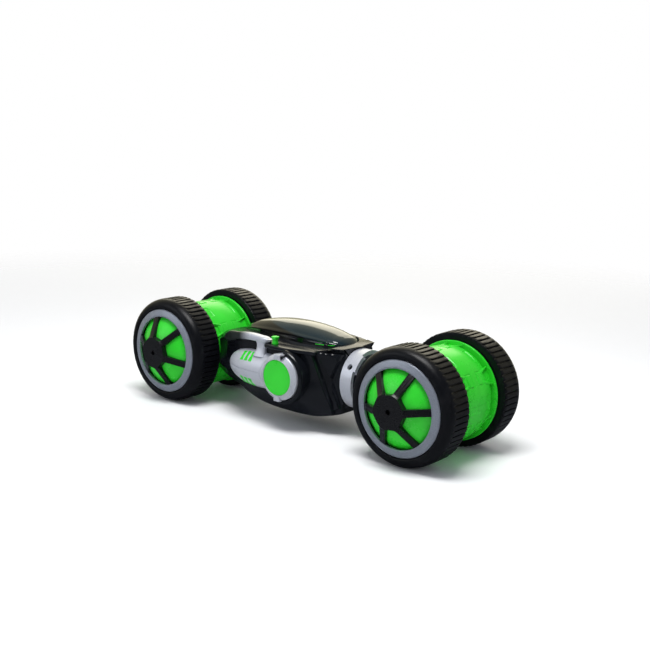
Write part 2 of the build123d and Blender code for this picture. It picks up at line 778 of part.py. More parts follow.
def make_canopy():
    """Smoked canopy: a hollow spindle turned about the deck's line, widened, upper half kept."""
    rear, front = along(canopy_rear), along(canopy_front)
    slope = (deck_height(front) - deck_height(rear)) / (front - rear)
    deck_plane = Plane(origin=(rear, 0, axle_height + deck_height(rear)), x_dir=(1, 0, slope),
                       z_dir=(-slope, 0, 1))
    spine = Plane(origin=deck_plane.origin, x_dir=(1, 0, slope), z_dir=(0, -1, 0))
    length = front - rear
    crest = canopy_crest * length
    widen = canopy_half_width / canopy_height
    with BuildPart() as canopy:
        for inset, mode in ((0.0, Mode.ADD), (canopy_wall, Mode.SUBTRACT)):
            top = canopy_height - inset
            with BuildSketch(spine):
                with BuildLine():
                    EllipticalCenterArc((crest, 0), crest - 2 * inset, top, 90, arc_size=90)
                    EllipticalCenterArc((crest, 0), length - crest - inset, top, 0, arc_size=90)
                    Line((2 * inset, 0), (length - inset, 0))
                make_face()
            revolve(axis=Axis(deck_plane.origin, (1, 0, slope)), mode=mode)
        with BuildSketch(deck_plane):
            Rectangle(4 * length, 4 * canopy_half_width)
        extrude(amount=-2 * canopy_height, mode=Mode.SUBTRACT)
        scale(by=(1, widen, 1))
    return canopy.part


# ---------------------------------------------------------------- side pods and rails
def slot_planes(side):
    """Planes on the nacelle's surface for the green slots: three above and three below."""
    planes = []
    for lift in (1, -1):
        for step in (-1, 0, 1):
            slant = radians(slot_slant)
            out, up = cos(slant), lift * sin(slant)
            origin = (along(slots_place) + step * slot_pitch, side * (pod_axis_out + nacelle_radius * out),
                      axle_height + nacelle_radius * up)
            planes.append(Plane(origin=origin, x_dir=(1, 0, 0), z_dir=(0, side * out, up)))
    return planes


def slot_shape(margin):
    """One slanted slot, smaller than its pocket by a margin."""
    Rectangle(slot_width - 2 * margin, slot_length - 2 * margin, rotation=12)


def make_pod(side, block):
    """Silver pod: nacelle and turbine in one moulding, with a recess for the green cap."""
    with BuildPart() as pod:
        add(nacelle_solid(side, 0))
        with BuildSketch(face_plane(turbine_x, side, 0)):
            Circle(turbine_radius)
        extrude(amount=turbine_face - 2)
        with BuildSketch(face_plane(turbine_x, side, turbine_face - 2)):
            Circle(turbine_radius)
        extrude(amount=2, taper=45)
        with BuildSketch(face_plane(turbine_x, side, ledge_half_width + loose)):
            Rectangle(8, 2 * turbine_radius + 2.4)
        extrude(amount=turbine_face - ledge_half_width - loose)
        add(block, mode=Mode.SUBTRACT)
        with BuildSketch(face_plane(turbine_x, side, body_half_width)):
            Circle(2 * turbine_radius)
            Circle(turbine_radius, mode=Mode.SUBTRACT)
            with Locations((-turbine_radius, 0)):
                Rectangle(2 * turbine_radius, 4 * turbine_radius, mode=Mode.SUBTRACT)
        extrude(amount=turbine_boss, mode=Mode.SUBTRACT)
        with BuildSketch(face_plane(turbine_x, side, turbine_face - cap_thickness)):
            Circle(cap_radius + seat)
        extrude(amount=cap_thickness + 1, mode=Mode.SUBTRACT)
        for plane in slot_planes(side):
            with BuildSketch(plane.offset(-slot_depth)):
                slot_shape(0)
            extrude(amount=slot_depth + 3, mode=Mode.SUBTRACT)
        with BuildSketch(face_plane(0, side, 0)):
            Rectangle(4 * body_length, 4 * belly_depth)
        extrude(amount=body_half_width - 1, mode=Mode.SUBTRACT)
    return pod.part


def make_pod_caps():
    """Green discs in the turbines' faces, one on each side."""
    with BuildPart() as caps:
        for side in (1, -1):
            with BuildSketch(face_plane(turbine_x, side, turbine_face - cap_thickness)):
                Circle(cap_radius)
            extrude(amount=cap_thickness)
    return caps.part


def make_pod_slots():
    """Green inserts in the nacelles' slots, six on each side."""
    with BuildPart() as slots:
        for side in (1, -1):
            for plane in slot_planes(side):
                with BuildSketch(plane.offset(-slot_depth)):
                    slot_shape(seat)
                extrude(amount=slot_depth)
    return slots.part


def make_side_rail(side):
    """Silver rail along the shoulder, with a column down to the nacelle."""
    inner_face = body_half_width + 0.2
    with BuildPart() as rail:
        with BuildSketch(face_plane(0, side, inner_face)):
            with BuildLine():
                under, over = rail_line(seat), rail_line(rail_thickness)
                column = along(pylon_rear) + seat
                outline = [*under, (column, deck_rear_height + rail_heights[-1] - 0.4 + seat),
                           (column, pylon_foot), (along(pylon_front), pylon_foot),
                           (along(pylon_front), pylon_neck), (along(rail_front), deck_rear_height + 6),
                           (along(rail_front), deck_rear_height + pylon_top), over[2], over[1]]
                Polyline(*[(x, -side * z) for x, z in outline], close=True)
            make_face()
        extrude(amount=shoulder_out + 1)
        add(nacelle_solid(side, seat), mode=Mode.SUBTRACT)
    return rail.part


def make_peg():
    """Green peg that stands on the right ledge in front of the rail."""
    with BuildPart() as peg:
        with BuildSketch(axle_plane.offset(ledge_top)):
            with Locations((along(peg_place), -(body_half_width + 4))):
                Rectangle(peg_size, peg_size)
        extrude(amount=peg_height)
    return peg.part


# ---------------------------------------------------------------- inner equipment
def make_battery():
    """Two cells side by side in one wrap, standing just above the battery door."""
    with BuildPart() as battery:
        with BuildSketch(axle_plane.offset(belly_wall_top - body_wall / 2 + 0.2)):
            with Locations((battery_x, 0)):
                Rectangle(battery_size[0], battery_size[1])
        extrude(amount=battery_size[2])
        fillet(battery.edges().filter_by(Axis.X), battery_size[2] * 0.3)
    return battery.part


def make_battery_door():
    with BuildPart() as door:
        with BuildSketch(axle_plane.offset(-belly_depth)):
            with Locations((battery_x, 0)):
                RectangleRounded(door_length, door_width, 0.5)
            with Locations(*door_screw_places):
                Circle(screw_radius + 0.2, mode=Mode.SUBTRACT)
        extrude(amount=body_wall / 2)
    return door.part


def make_circuit_board():
    """Board on its four posts, with a processor, two driver chips and a connector."""
    chips = ((0, 0, 9, 9, 1.6), (14, 6, 6, 5, 1.4), (14, -6, 6, 5, 1.4), (-16, 0, 6, 14, 5))
    with BuildPart() as board:
        with BuildSketch(axle_plane.offset(board_height)):
            with Locations((board_x, 0)):
                RectangleRounded(board_size[0], board_size[1], 2)
        extrude(amount=board_size[2])
        for dx, dy, length, width, height in chips:
            with BuildSketch(axle_plane.offset(board_height + board_size[2])):
                with Locations((board_x + dx, dy)):
                    Rectangle(length, width)
            extrude(amount=height)
    return board.part


def make_switch_body():
    """Housing of the power switch, open below for its slider."""
    with BuildPart() as housing:
        with BuildSketch(axle_plane.offset(belly_wall_top)):
            with Locations((switch_x, switch_y)):
                Rectangle(switch_size[0], switch_size[1])
        extrude(amount=switch_size[2])
        with BuildSketch(axle_plane.offset(belly_wall_top)):
            with Locations((switch_x, switch_y)):
                Rectangle(switch_carriage[0] + switch_travel + 4 * loose, switch_carriage[1] + 2 * loose)
        extrude(amount=switch_carriage[2] + loose, mode=Mode.SUBTRACT)
    return housing.part


def make_switch_slider():
    """Slider at the rear end of its travel: a carriage in the housing and a knob through the slot."""
    rest_x = switch_x - switch_travel / 2
    with BuildPart() as slider:
        with BuildSketch(axle_plane.offset(belly_wall_top + 0.1)):
            with Locations((rest_x, switch_y)):
                Rectangle(switch_carriage[0], switch_carriage[1])
        extrude(amount=switch_carriage[2] - 0.1)
        with BuildSketch(axle_plane.offset(-belly_depth - 1)):
            with Locations((rest_x, switch_y)):
                Rectangle(switch_knob[0], switch_knob[1])
        extrude(amount=body_wall + 1.2)
    return slider.part


def make_body_screws():
    """Four long screws through the lower shell into the upper one, and two door screws."""
    with BuildPart() as screws:
        for x, y in screw_places:
            seat_at = belly_height(x) + screw_seat
            with BuildSketch(axle_plane.offset(seat_at - screw_head)):
                with Locations((x, y)):
                    Circle(screw_head_radius)
            extrude(amount=screw_head)
            with BuildSketch(axle_plane.offset(seat_at)):
                with Locations((x, y)):
                    Circle(screw_radius - screw_fit)
            extrude(amount=screw_bite - 1 - seat_at)
        with BuildSketch(axle_plane.offset(-belly_depth - door_screw_head)):
            with Locations(*door_screw_places):
                Circle(screw_head_radius)
        extrude(amount=door_screw_head)
        with BuildSketch(axle_plane.offset(-belly_depth)):
            with Locations(*door_screw_places):
                Circle(screw_radius - screw_fit)
        extrude(amount=door_screw_length)
    return screws.part


# ---------------------------------------------------------------- build every piece
os.makedirs("parts", exist_ok=True)
ends = (("front", front_axle_x, 7.0), ("rear", rear_axle_x, -15.0))
sides = (("left", 1), ("right", -1))

for end_name, axle_x, turn in ends:
    for side_name, side in sides:
        corner = f"{end_name}_{side_name}"
        above = motor_offset * side
        save(make_tyre(axle_x, side), f"{corner}_tyre")
        save(make_rim(axle_x, side, turn), f"{corner}_rim")
        save(make_trim_ring(axle_x, side), f"{corner}_trim_ring")
        save(make_dome(axle_x, side), f"{corner}_dome")
        save(make_axle(axle_x, side), f"{corner}_axle")
        wheel_gear_plane = face_plane(axle_x, side, gear_at)
        pinion_plane = face_plane(axle_x, side, gear_at, above)
        save(make_gear(wheel_gear_plane, wheel_gear_teeth, axle_radius), f"{corner}_gear")
        save(make_pinion(pinion_plane, motor_back + shaft_grip), f"{corner}_pinion")
        save(make_motor(face_plane(axle_x, side, inner_wall_at, above)), f"{corner}_motor")
    wire_side = -1 if end_name == "front" else 1
    save(make_drum_half(axle_x, Keep.TOP, wire_side), f"{end_name}_drum_upper")
    save(make_drum_half(axle_x, Keep.BOTTOM, wire_side), f"{end_name}_drum_lower")
    save(bush_group(axle_x), f"{end_name}_bushes")

save(make_neck_tube(), "neck_tube")
save(make_neck_collar(), "neck_collar")
save(make_neck_bush(), "neck_bush")
save(make_gear(cross_plane(neck_gear_at), neck_gear_teeth, spigot_radius), "neck_gear")
save(make_motor(cross_plane(neck_gear_at - motor_back, -twist_motor_offset)), "twist_motor")
save(make_pinion(cross_plane(neck_gear_at, -twist_motor_offset), motor_back + shaft_grip), "twist_pinion")

body_solid = body_block(0)
body_cavity = body_block(body_wall)
save(make_shell(body_solid, body_cavity, Keep.TOP), "upper_shell")
save(make_shell(body_solid, body_cavity, Keep.BOTTOM), "lower_shell")
save(make_canopy(), "canopy")
for side_name, side in sides:
    save(make_pod(side, body_solid), f"{side_name}_pod")
    save(make_side_rail(side), f"{side_name}_side_rail")
save(make_pod_caps(), "pod_caps")
save(make_pod_slots(), "pod_slots")
save(make_peg(), "peg")
save(make_battery(), "battery_pack")
save(make_battery_door(), "battery_door")
save(make_circuit_board(), "circuit_board")
save(make_switch_body(), "switch_body")
save(make_switch_slider(), "switch_slider")
save(make_body_screws(), "body_screws")
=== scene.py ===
import json
import math

import bmesh
import bpy
import mathutils
import numpy as np
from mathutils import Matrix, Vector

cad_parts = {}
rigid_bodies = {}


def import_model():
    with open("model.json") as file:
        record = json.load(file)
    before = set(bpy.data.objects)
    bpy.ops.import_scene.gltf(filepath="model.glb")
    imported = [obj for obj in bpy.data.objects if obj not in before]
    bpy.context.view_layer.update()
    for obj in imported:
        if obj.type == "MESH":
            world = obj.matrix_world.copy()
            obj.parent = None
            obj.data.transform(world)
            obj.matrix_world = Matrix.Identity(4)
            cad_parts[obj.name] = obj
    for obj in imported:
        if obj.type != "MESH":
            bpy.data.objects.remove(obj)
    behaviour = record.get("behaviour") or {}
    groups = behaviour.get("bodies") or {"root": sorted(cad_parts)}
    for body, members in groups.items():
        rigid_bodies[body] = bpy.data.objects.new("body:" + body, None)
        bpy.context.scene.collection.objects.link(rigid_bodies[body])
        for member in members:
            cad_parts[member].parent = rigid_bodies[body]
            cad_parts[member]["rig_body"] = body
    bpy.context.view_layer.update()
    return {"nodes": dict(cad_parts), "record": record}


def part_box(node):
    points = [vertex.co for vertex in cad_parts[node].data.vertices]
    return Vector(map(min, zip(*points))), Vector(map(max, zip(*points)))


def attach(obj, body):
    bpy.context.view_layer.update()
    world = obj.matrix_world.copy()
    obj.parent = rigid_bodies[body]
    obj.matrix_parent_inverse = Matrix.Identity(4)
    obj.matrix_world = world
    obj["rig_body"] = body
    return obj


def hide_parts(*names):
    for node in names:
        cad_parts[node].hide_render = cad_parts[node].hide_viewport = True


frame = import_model()

MM = 0.001
PI = math.pi

# ---------------------------------------------------------------- sizes read from the frame, mm
def corners(node):
    """Lowest and highest corners of a CAD node, in millimetres."""
    low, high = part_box(node)
    return np.array(low) / MM, np.array(high) / MM


def middle(node):
    """Middle of a CAD node's box, in millimetres."""
    low, high = corners(node)
    return (low + high) / 2


AXLE_UP = middle("front_left_tyre")[2]
AXLE_X = {"front": middle("front_left_tyre")[0], "rear": middle("rear_left_tyre")[0]}
SIDE = {"left": 1, "right": -1}
TYRE_R = corners("front_left_tyre")[1][2] - AXLE_UP
TYRE_IN = corners("front_left_tyre")[0][1]
TYRE_W = corners("front_left_tyre")[1][1] - TYRE_IN
RIM_R = corners("front_left_rim")[1][2] - AXLE_UP
RING_R = corners("front_left_trim_ring")[1][2] - AXLE_UP
RING_BASE = corners("front_left_trim_ring")[0][1] - TYRE_IN
RING_LIP = corners("front_left_trim_ring")[1][1] - TYRE_IN
HUB_FACE = corners("front_left_rim")[1][1] - TYRE_IN
DRUM_HALF = corners("front_drum_upper")[1][1]
DRUM_R = corners("front_drum_upper")[1][2] - AXLE_UP
TURBINE_X = middle("pod_caps")[0]
TURBINE_FACE = corners("pod_caps")[1][1]
CAP_R = corners("pod_caps")[1][2] - AXLE_UP
NOSE_TIP = corners("upper_shell")[1][0]

REAR_SPAN = 58.0        # rear axle to the body's rear end
COLLAR_GAP = 0.6        # body to collar
RING_WIDTH = 7.8        # trim ring, from its inner lip to its rim
HUB_BOSS_R = 9.0
HUB_STAND = 3.6         # hub face above the dome's top
DOME_SPHERE = 53.29     # radius of the sphere that the dome is cut from
DOME_WALL = 1.6
BODY_REAR = AXLE_X["rear"] + REAR_SPAN
BODY_FRONT = corners("neck_collar")[0][0] - COLLAR_GAP
RECESS_R = RING_R - RING_WIDTH

MERGE = 2e-6            # points closer than this become one, in metres
TINY_EDGE = 1e-6


# ---------------------------------------------------------------- surfaces
def grid_faces(rows, columns, wrap_rows, wrap_columns):
    """Quads of a rows by columns grid of points; a wrapped direction joins its last line to its first."""
    i = np.arange(rows if wrap_rows else rows - 1)
    j = np.arange(columns if wrap_columns else columns - 1)
    i, j = np.meshgrid(i, j, indexing="ij")
    i2, j2 = (i + 1) % rows, (j + 1) % columns
    quads = [i * columns + j, i2 * columns + j, i2 * columns + j2, i * columns + j2]
    return np.stack(quads, -1).reshape(-1, 4)


def surface(points, wrap_rows=False, wrap_columns=False, cap_rows=False, cap_columns=False):
    """A patch for piece(): a (rows, columns, 3) grid in mm, with flat caps on its open ends if asked."""
    rows, columns = points.shape[:2]
    faces = grid_faces(rows, columns, wrap_rows, wrap_columns).tolist()
    if cap_rows:
        faces.append(list(range(columns)))
        faces.append(list(range((rows - 1) * columns, rows * columns))[::-1])
    if cap_columns:
        faces.append([r * columns for r in range(rows)][::-1])
        faces.append([r * columns + columns - 1 for r in range(rows)])
    return points.reshape(-1, 3), faces


def piece(name, patches, body, material, replaces=(), sharp=32.0, bevel=0.0):
    """One mesh from patches: doubles merged, faces turned outwards, smooth but for sharp edges."""
    points, faces, start = [], [], 0
    for patch_points, patch_faces in patches:
        points.append(patch_points)
        faces += [[v + start for v in face] for face in patch_faces]
        start += len(patch_points)
    mesh = bpy.data.meshes.new(name)
    mesh.from_pydata((np.concatenate(points) * MM).tolist(), [], faces)
    return dress(mesh, name, body, material, replaces, sharp, bevel)


def dress(mesh, name, body, material, replaces, sharp, bevel):
    """Cleans a mesh and makes it a piece that rides on a body."""
    bm = bmesh.new()
    bm.from_mesh(mesh)
    bmesh.ops.remove_doubles(bm, verts=bm.verts, dist=MERGE)
    bmesh.ops.dissolve_degenerate(bm, edges=bm.edges, dist=TINY_EDGE)
    bmesh.ops.recalc_face_normals(bm, faces=bm.faces)
    bm.to_mesh(mesh)
    bm.free()
    mesh.shade_smooth()
    mesh.set_sharp_from_angle(angle=math.radians(sharp))
    mesh.materials.clear()
    mesh.materials.append(material)
    made = bpy.data.objects.new(name, mesh)
    bpy.context.scene.collection.objects.link(made)
    if bevel:
        rounding = made.modifiers.new("edges", "BEVEL")
        rounding.width = bevel * MM
        rounding.segments = 2
        rounding.limit_method = "ANGLE"
        rounding.angle_limit = math.radians(sharp)
        rounding.harden_normals = True
    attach(made, body)
    if replaces:
        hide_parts(*replaces)
    return made


def from_cad(node, name, material, sharp=28.0, bevel=0.3):
    """A copy of a CAD node with its flat facets joined and its edges rounded."""
    mesh = frame["nodes"][node].data.copy()
    bm = bmesh.new()
    bm.from_mesh(mesh)
    bmesh.ops.remove_doubles(bm, verts=bm.verts, dist=MERGE)
    bmesh.ops.dissolve_limit(bm, angle_limit=math.radians(0.6), verts=bm.verts, edges=bm.edges)
    bm.to_mesh(mesh)
    bm.free()
    body = frame["nodes"][node]["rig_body"]
    return dress(mesh, name, body, material, (node,), sharp, bevel)


def soften(points, radius, steps=5, closed=True):
    """Rounds the corners of an outline: each becomes a quadratic curve between points a radius away."""
    points = np.asarray(points, float)
    before, after = np.roll(points, 1, 0), np.roll(points, -1, 0)
    radius = np.broadcast_to(np.asarray(radius, float), len(points)).copy()
    if not closed:
        radius[0] = radius[-1] = 0
        before[0], after[-1] = points[0], points[-1]
    reach_back = np.linalg.norm(before - points, axis=1)
    reach_on = np.linalg.norm(after - points, axis=1)
    room = np.minimum(*(np.where(reach > 0, reach, np.inf) for reach in (reach_back, reach_on)))
    cut = np.minimum(radius, 0.49 * room)
    start = points + (before - points) * (cut / np.maximum(reach_back, 1e-9))[:, None]
    end = points + (after - points) * (cut / np.maximum(reach_on, 1e-9))[:, None]
    t = np.linspace(0, 1, steps)[None, :, None]
    curve = (1 - t) ** 2 * start[:, None] + 2 * t * (1 - t) * points[:, None] + t ** 2 * end[:, None]
    return curve.reshape(-1, points.shape[1])


def smooth_step(low, high, value):
    """0 below low, 1 above high, and an S-curve between them."""
    t = np.clip((value - low) / (high - low), 0, 1)
    return t * t * (3 - 2 * t)


def about_axle(axle_x, side, radius, angle, outward):
    """Points of a wheel: radius and angle about the axle, and distance out from the centre plane."""
    return np.stack([axle_x + radius * np.cos(angle), side * outward + 0 * angle,
                     AXLE_UP + radius * np.sin(angle)], -1)


def lathe_about_axle(axle_x, side, profile, turns=192):
    """A profile of (radius, outward) points turned about an axle."""
    angle = np.linspace(0, 2 * PI, turns, endpoint=False)
    angle, radius = np.meshgrid(angle, profile[:, 0], indexing="ij")
    return about_axle(axle_x, side, radius, angle, profile[None, :, 1] + 0 * angle)


def about_length(radius, angle, x):
    """Points about the car's length axis at axle height."""
    return np.stack([x + 0 * angle, radius * np.cos(angle), AXLE_UP + radius * np.sin(angle)], -1)


def plate(outline, thickness, place, edge=0.6, steps=4):
    """A plate with rounded edges: the outline, drawn in towards its inside near both faces.

    Along the rounding, over a quarter turn a, the outline is drawn in by edge * (1 - sin a) at a height of
    edge * (1 - cos a). place turns (outline x, outline y, height) arrays into points.
    """
    outline = np.asarray(outline, float)
    tangent = np.roll(outline, -1, 0) - np.roll(outline, 1, 0)
    tangent /= np.maximum(np.linalg.norm(tangent, axis=1), 1e-9)[:, None]
    after = np.roll(outline, -1, 0)
    area = np.sum(outline[:, 0] * after[:, 1] - after[:, 0] * outline[:, 1])
    inward = np.stack([-tangent[:, 1], tangent[:, 0]], -1) * np.sign(area)
    angle = np.linspace(0, PI / 2, steps)
    low = np.stack([edge * (1 - np.sin(angle)), edge * (1 - np.cos(angle))], -1)
    high = np.stack([low[::-1, 0], thickness - low[::-1, 1]], -1)
    levels = np.concatenate([low, high])
    flat = outline[None] + inward[None] * levels[:, None, :1]
    height = levels[:, None, 1] + 0 * flat[..., 0]
    return surface(place(flat[..., 0], flat[..., 1], height), wrap_columns=True, cap_rows=True)


# ---------------------------------------------------------------- materials
def operator(operation, turned=False):
    """An arithmetic method that adds a Math node; turned swaps its two inputs."""
    def apply(self, other=None):
        """Adds the Math node to this wire's tree."""
        pair = (other, self) if turned else (self, other)
        return self.finish.node("ShaderNodeMath", {"operation": operation}, dict(enumerate(pair)))
    return apply


class Wire:
    """A socket of a finish; sums on it add Math nodes."""

    def __init__(self, finish, socket):
        self.finish = finish
        self.socket = socket

    __add__ = __radd__ = operator("ADD")
    __mul__ = __rmul__ = operator("MULTIPLY")
    __sub__ = operator("SUBTRACT")
    __rsub__ = operator("SUBTRACT", turned=True)
    __gt__ = operator("GREATER_THAN")
    __lt__ = operator("LESS_THAN")
    __pow__ = operator("POWER")


class Graph:
    """A node tree under construction."""

    def __init__(self, tree):
        self.tree = tree

    def feed(self, socket, value):
        """Links a wire to a socket, or sets a plain value on it."""
        if isinstance(value, Wire):
            self.tree.links.new(value.socket, socket)
        elif value is not None:
            socket.default_value = value

    def node(self, kind, settings=None, values=None, output=0):
        """Adds a node, sets it up, fills its inputs with values or wires, and gives one of its outputs."""
        made = self.tree.nodes.new(kind)
        for key, value in (settings or {}).items():
            if key == "stops":
                for element, (position, colour) in zip(self.stops(made, len(value)), value):
                    element.position = position
                    element.color = colour
            else:
                setattr(made, key, value)
        for key, value in (values or {}).items():
            self.feed(made.inputs[key], value)
        return Wire(self, made.outputs[output])

    @staticmethod
    def stops(ramp, count):
        """A ramp's elements, with more added until there are enough."""
        elements = ramp.color_ramp.elements
        while len(elements) < count:
            elements.new(0.5)
        return elements

    def place(self):
        """Object coordinates, in metres."""
        return self.node("ShaderNodeTexCoord", output="Object")

    def noise(self, per_metre, detail=3.0, roughness=0.5):
        """Noise from 0 to 1 with this many lumps to the metre."""
        values = {"Vector": self.place(), "Scale": per_metre, "Detail": detail, "Roughness": roughness}
        return self.node("ShaderNodeTexNoise", None, values)

    def between(self, low, high, value):
        """0 below low and 1 above high."""
        values = {"Value": value, "From Min": low, "From Max": high}
        return self.node("ShaderNodeMapRange", {"clamp": True}, values)

    def mix(self, share, first, second):
        """The first colour at share 0 and the second at share 1."""
        return self.node("ShaderNodeMix", {"data_type": "RGBA"}, {0: share, 6: first, 7: second}, output=2)


class Finish(Graph):
    """A material under construction around one Principled shader; constants go straight on its sockets."""

    def __init__(self, name, slot, **constants):
        self.material = bpy.data.materials.new(name)
        self.material.use_nodes = True
        self.material["slot"] = slot
        super().__init__(self.material.node_tree)
        self.shader = next(n for n in self.tree.nodes if n.type == "BSDF_PRINCIPLED")
        self.paint(**constants)

    def paint(self, **sockets):
        """Fills the shader's sockets; an underscore in a name stands for a space."""
        for socket, value in sockets.items():
            self.feed(self.shader.inputs[socket.replace("_", " ")], value)
        return self

    def bump(self, height, depth_mm, strength=1.0):
        """Relief from a height of 0 to 1, this many millimetres deep."""
        values = {"Height": height, "Distance": depth_mm * MM, "Strength": strength}
        self.feed(self.shader.inputs["Normal"], self.node("ShaderNodeBump", None, values))
        return self


def rgb(red, green, blue):
    """A display colour, 0 to 255, as the linear colour that Blender wants."""
    share = np.array([red, green, blue]) / 255
    linear = np.where(share < 0.04045, share / 12.92, ((share + 0.055) / 1.055) ** 2.4)
    return (*linear, 1.0)


def rubber():
    """Satin tyre rubber: fine grain, paler scuffs and a little dust."""
    made = Finish("tyre_rubber_ribbed", "tyre_rubber", Specular_IOR_Level=0.2)
    grain = made.noise(2600.0, 2.0)
    scuffs = made.noise(60.0, 5.0, 0.65)
    wear = made.between(0.52, 0.78, scuffs)
    made.paint(Base_Color=made.mix(wear * 0.6, rgb(13, 14, 18), rgb(34, 34, 36)),
               Roughness=0.3 + wear * 0.16 + grain * 0.06)
    return made.bump(grain, 0.06)


def plastic(name, slot, colour, tint, roughness, **constants):
    """Moulded plastic: a faint flow of tint, slightly uneven gloss and a fine moulded skin."""
    made = Finish(name, slot, **constants)
    flow = made.between(0.35, 0.7, made.noise(28.0, 3.0))
    skin = made.noise(900.0, 2.0)
    made.paint(Base_Color=made.mix(flow, colour, tint), Roughness=roughness + flow * 0.05 + skin * 0.03)
    return made.bump(skin, 0.012)


PAINTED_SHADE_SPAN = (-58.0, -42.0)        # x over which the rails' painted shade, a dark painted reflection, fades out to silver, mm


def silver(name, dull, bright, metallic, painted_shade=False):
    """Silver paint: fine flake under a thin clear coat; the shaded one carries painted shade, a dark
    green-grey painted reflection that grows rearwards over the span above.
    """
    made = Finish(name, "silver_paint", Coat_Weight=0.25, Coat_Roughness=0.12, Metallic=metallic)
    flake = made.noise(3800.0, 1.0)
    cloud = made.between(0.3, 0.75, made.noise(35.0, 3.0))
    light = made.between(0.42, 0.62, flake)
    colour = made.mix(light, dull, bright)
    if painted_shade:
        # painted shade: towards the rear the silver turns to a dark green-grey painted reflection
        along = made.node("ShaderNodeSeparateXYZ", None, {0: made.place()})
        clear = made.between(PAINTED_SHADE_SPAN[0] * MM, PAINTED_SHADE_SPAN[1] * MM, along)
        colour = made.mix(clear, rgb(38, 46, 42), colour)
    made.paint(Base_Color=colour, Roughness=0.33 + cloud * 0.06 + light * 0.06)
    return made.bump(flake, 0.01)


BELT_UP = (AXLE_UP + 36.2) * MM
BELT_FALL = 0.12


def smoked():
    """Smoked plastic under deep gloss: blue-grey glass above a belt that falls forwards, black below."""
    made = Finish("smoked_canopy_gloss", "smoked_canopy", Coat_Weight=0.6, Coat_Roughness=0.03)
    flow = made.between(0.3, 0.7, made.noise(22.0, 2.0))
    parts = [made.node("ShaderNodeSeparateXYZ", None, {0: made.place()}, output=axis) for axis in (0, 2)]
    glass = made.between(BELT_UP - 0.7 * MM, BELT_UP + 0.7 * MM, parts[1] + parts[0] * BELT_FALL)
    slate = made.mix(flow, rgb(22, 34, 38), rgb(36, 50, 56))
    made.paint(Base_Color=made.mix(glass, rgb(9, 10, 12), slate), Roughness=0.09 + flow * 0.05)
    return made.bump(made.noise(45.0, 1.0), 0.05)


def metal(name, slot, colour, tint, roughness, ratio=(1.0, 60.0, 60.0)):
    """Turned or rolled metal with fine marks stretched along one way."""
    made = Finish(name, slot, Metallic=1.0)
    stretched = made.node("ShaderNodeMapping", None, {"Vector": made.place(), "Scale": ratio})
    marks = made.node("ShaderNodeTexNoise", None, {"Vector": stretched, "Scale": 40.0, "Detail": 4.0})
    made.paint(Base_Color=made.mix(marks, colour, tint), Roughness=roughness + marks * 0.15)
    return made.bump(marks, 0.02)


FINISHES = {
    "tyre_rubber": rubber(),
    "black_plastic": plastic("black_plastic_satin", "black_plastic", rgb(13, 13, 15), rgb(18, 18, 21), 0.24,
                             Specular_IOR_Level=0.35),
    "gloss_black": plastic("gloss_black_shell", "gloss_black", rgb(13, 15, 19), rgb(19, 22, 28), 0.2,
                           Specular_IOR_Level=0.4),
    "bright_green": plastic("bright_green_plastic", "bright_green", rgb(40, 200, 38), rgb(50, 212, 48),
                            0.24),
    "silver_paint": silver("silver_paint_flake", rgb(186, 189, 199), rgb(220, 223, 231), 0.4),
    "silver_ring": silver("silver_ring_flake", rgb(132, 138, 150), rgb(166, 172, 184), 0.5),
    "silver_with_painted_shade": silver("rail_silver_painted_shade", rgb(186, 189, 199), rgb(220, 223, 231), 0.4,
                           painted_shade=True),
    "smoked_canopy": smoked(),
    "steel": metal("turned_steel", "steel", rgb(170, 172, 176), rgb(205, 207, 211), 0.22),
    "brass_bush": metal("sintered_bronze", "brass_bush", rgb(160, 122, 60), rgb(196, 158, 92), 0.42,
                        (8.0, 8.0, 8.0)),
    "white_nylon": plastic("white_nylon_gear", "white_nylon", rgb(226, 225, 214), rgb(236, 235, 226), 0.42),
    "motor_can": metal("zinc_motor_can", "motor_can", rgb(158, 160, 164), rgb(190, 192, 196), 0.3),
    "board_green": plastic("solder_mask_green", "board_green", rgb(14, 82, 42), rgb(20, 98, 52), 0.35),
    "battery_wrap": plastic("battery_wrap_blue", "battery_wrap", rgb(28, 62, 134), rgb(36, 74, 150), 0.28),
}
SLOT = {row["node"]: row["material_slot"] for row in frame["record"]["subparts"]}
for node, carried in frame["nodes"].items():
    carried.data.materials.clear()
    carried.data.materials.append(FINISHES[SLOT[node]].material)


def finish(name):
    """The material of a finish, by its name."""
    return FINISHES[name].material


# ---------------------------------------------------------------- wheels
RIBS = 60
TREAD_DEPTH = 1.5
TREAD_END = 19.5
BEAD_R = RING_R + 2.4


def rib_turns():
    """Angles and heights round a tyre: each rib is a groove, a steep rise and a slow fall, from 1 to 0.72."""
    share = np.array([0.0, 0.05, 0.20, 0.25, 0.31, 0.52, 0.75, 0.95])
    height = np.array([0.0, 0.0, 0.0, 0.85, 1.0, 0.92, 0.82, 0.72])
    angle = (np.arange(RIBS)[:, None] + share[None]) * 2 * PI / RIBS
    return angle.ravel(), np.tile(height, RIBS)


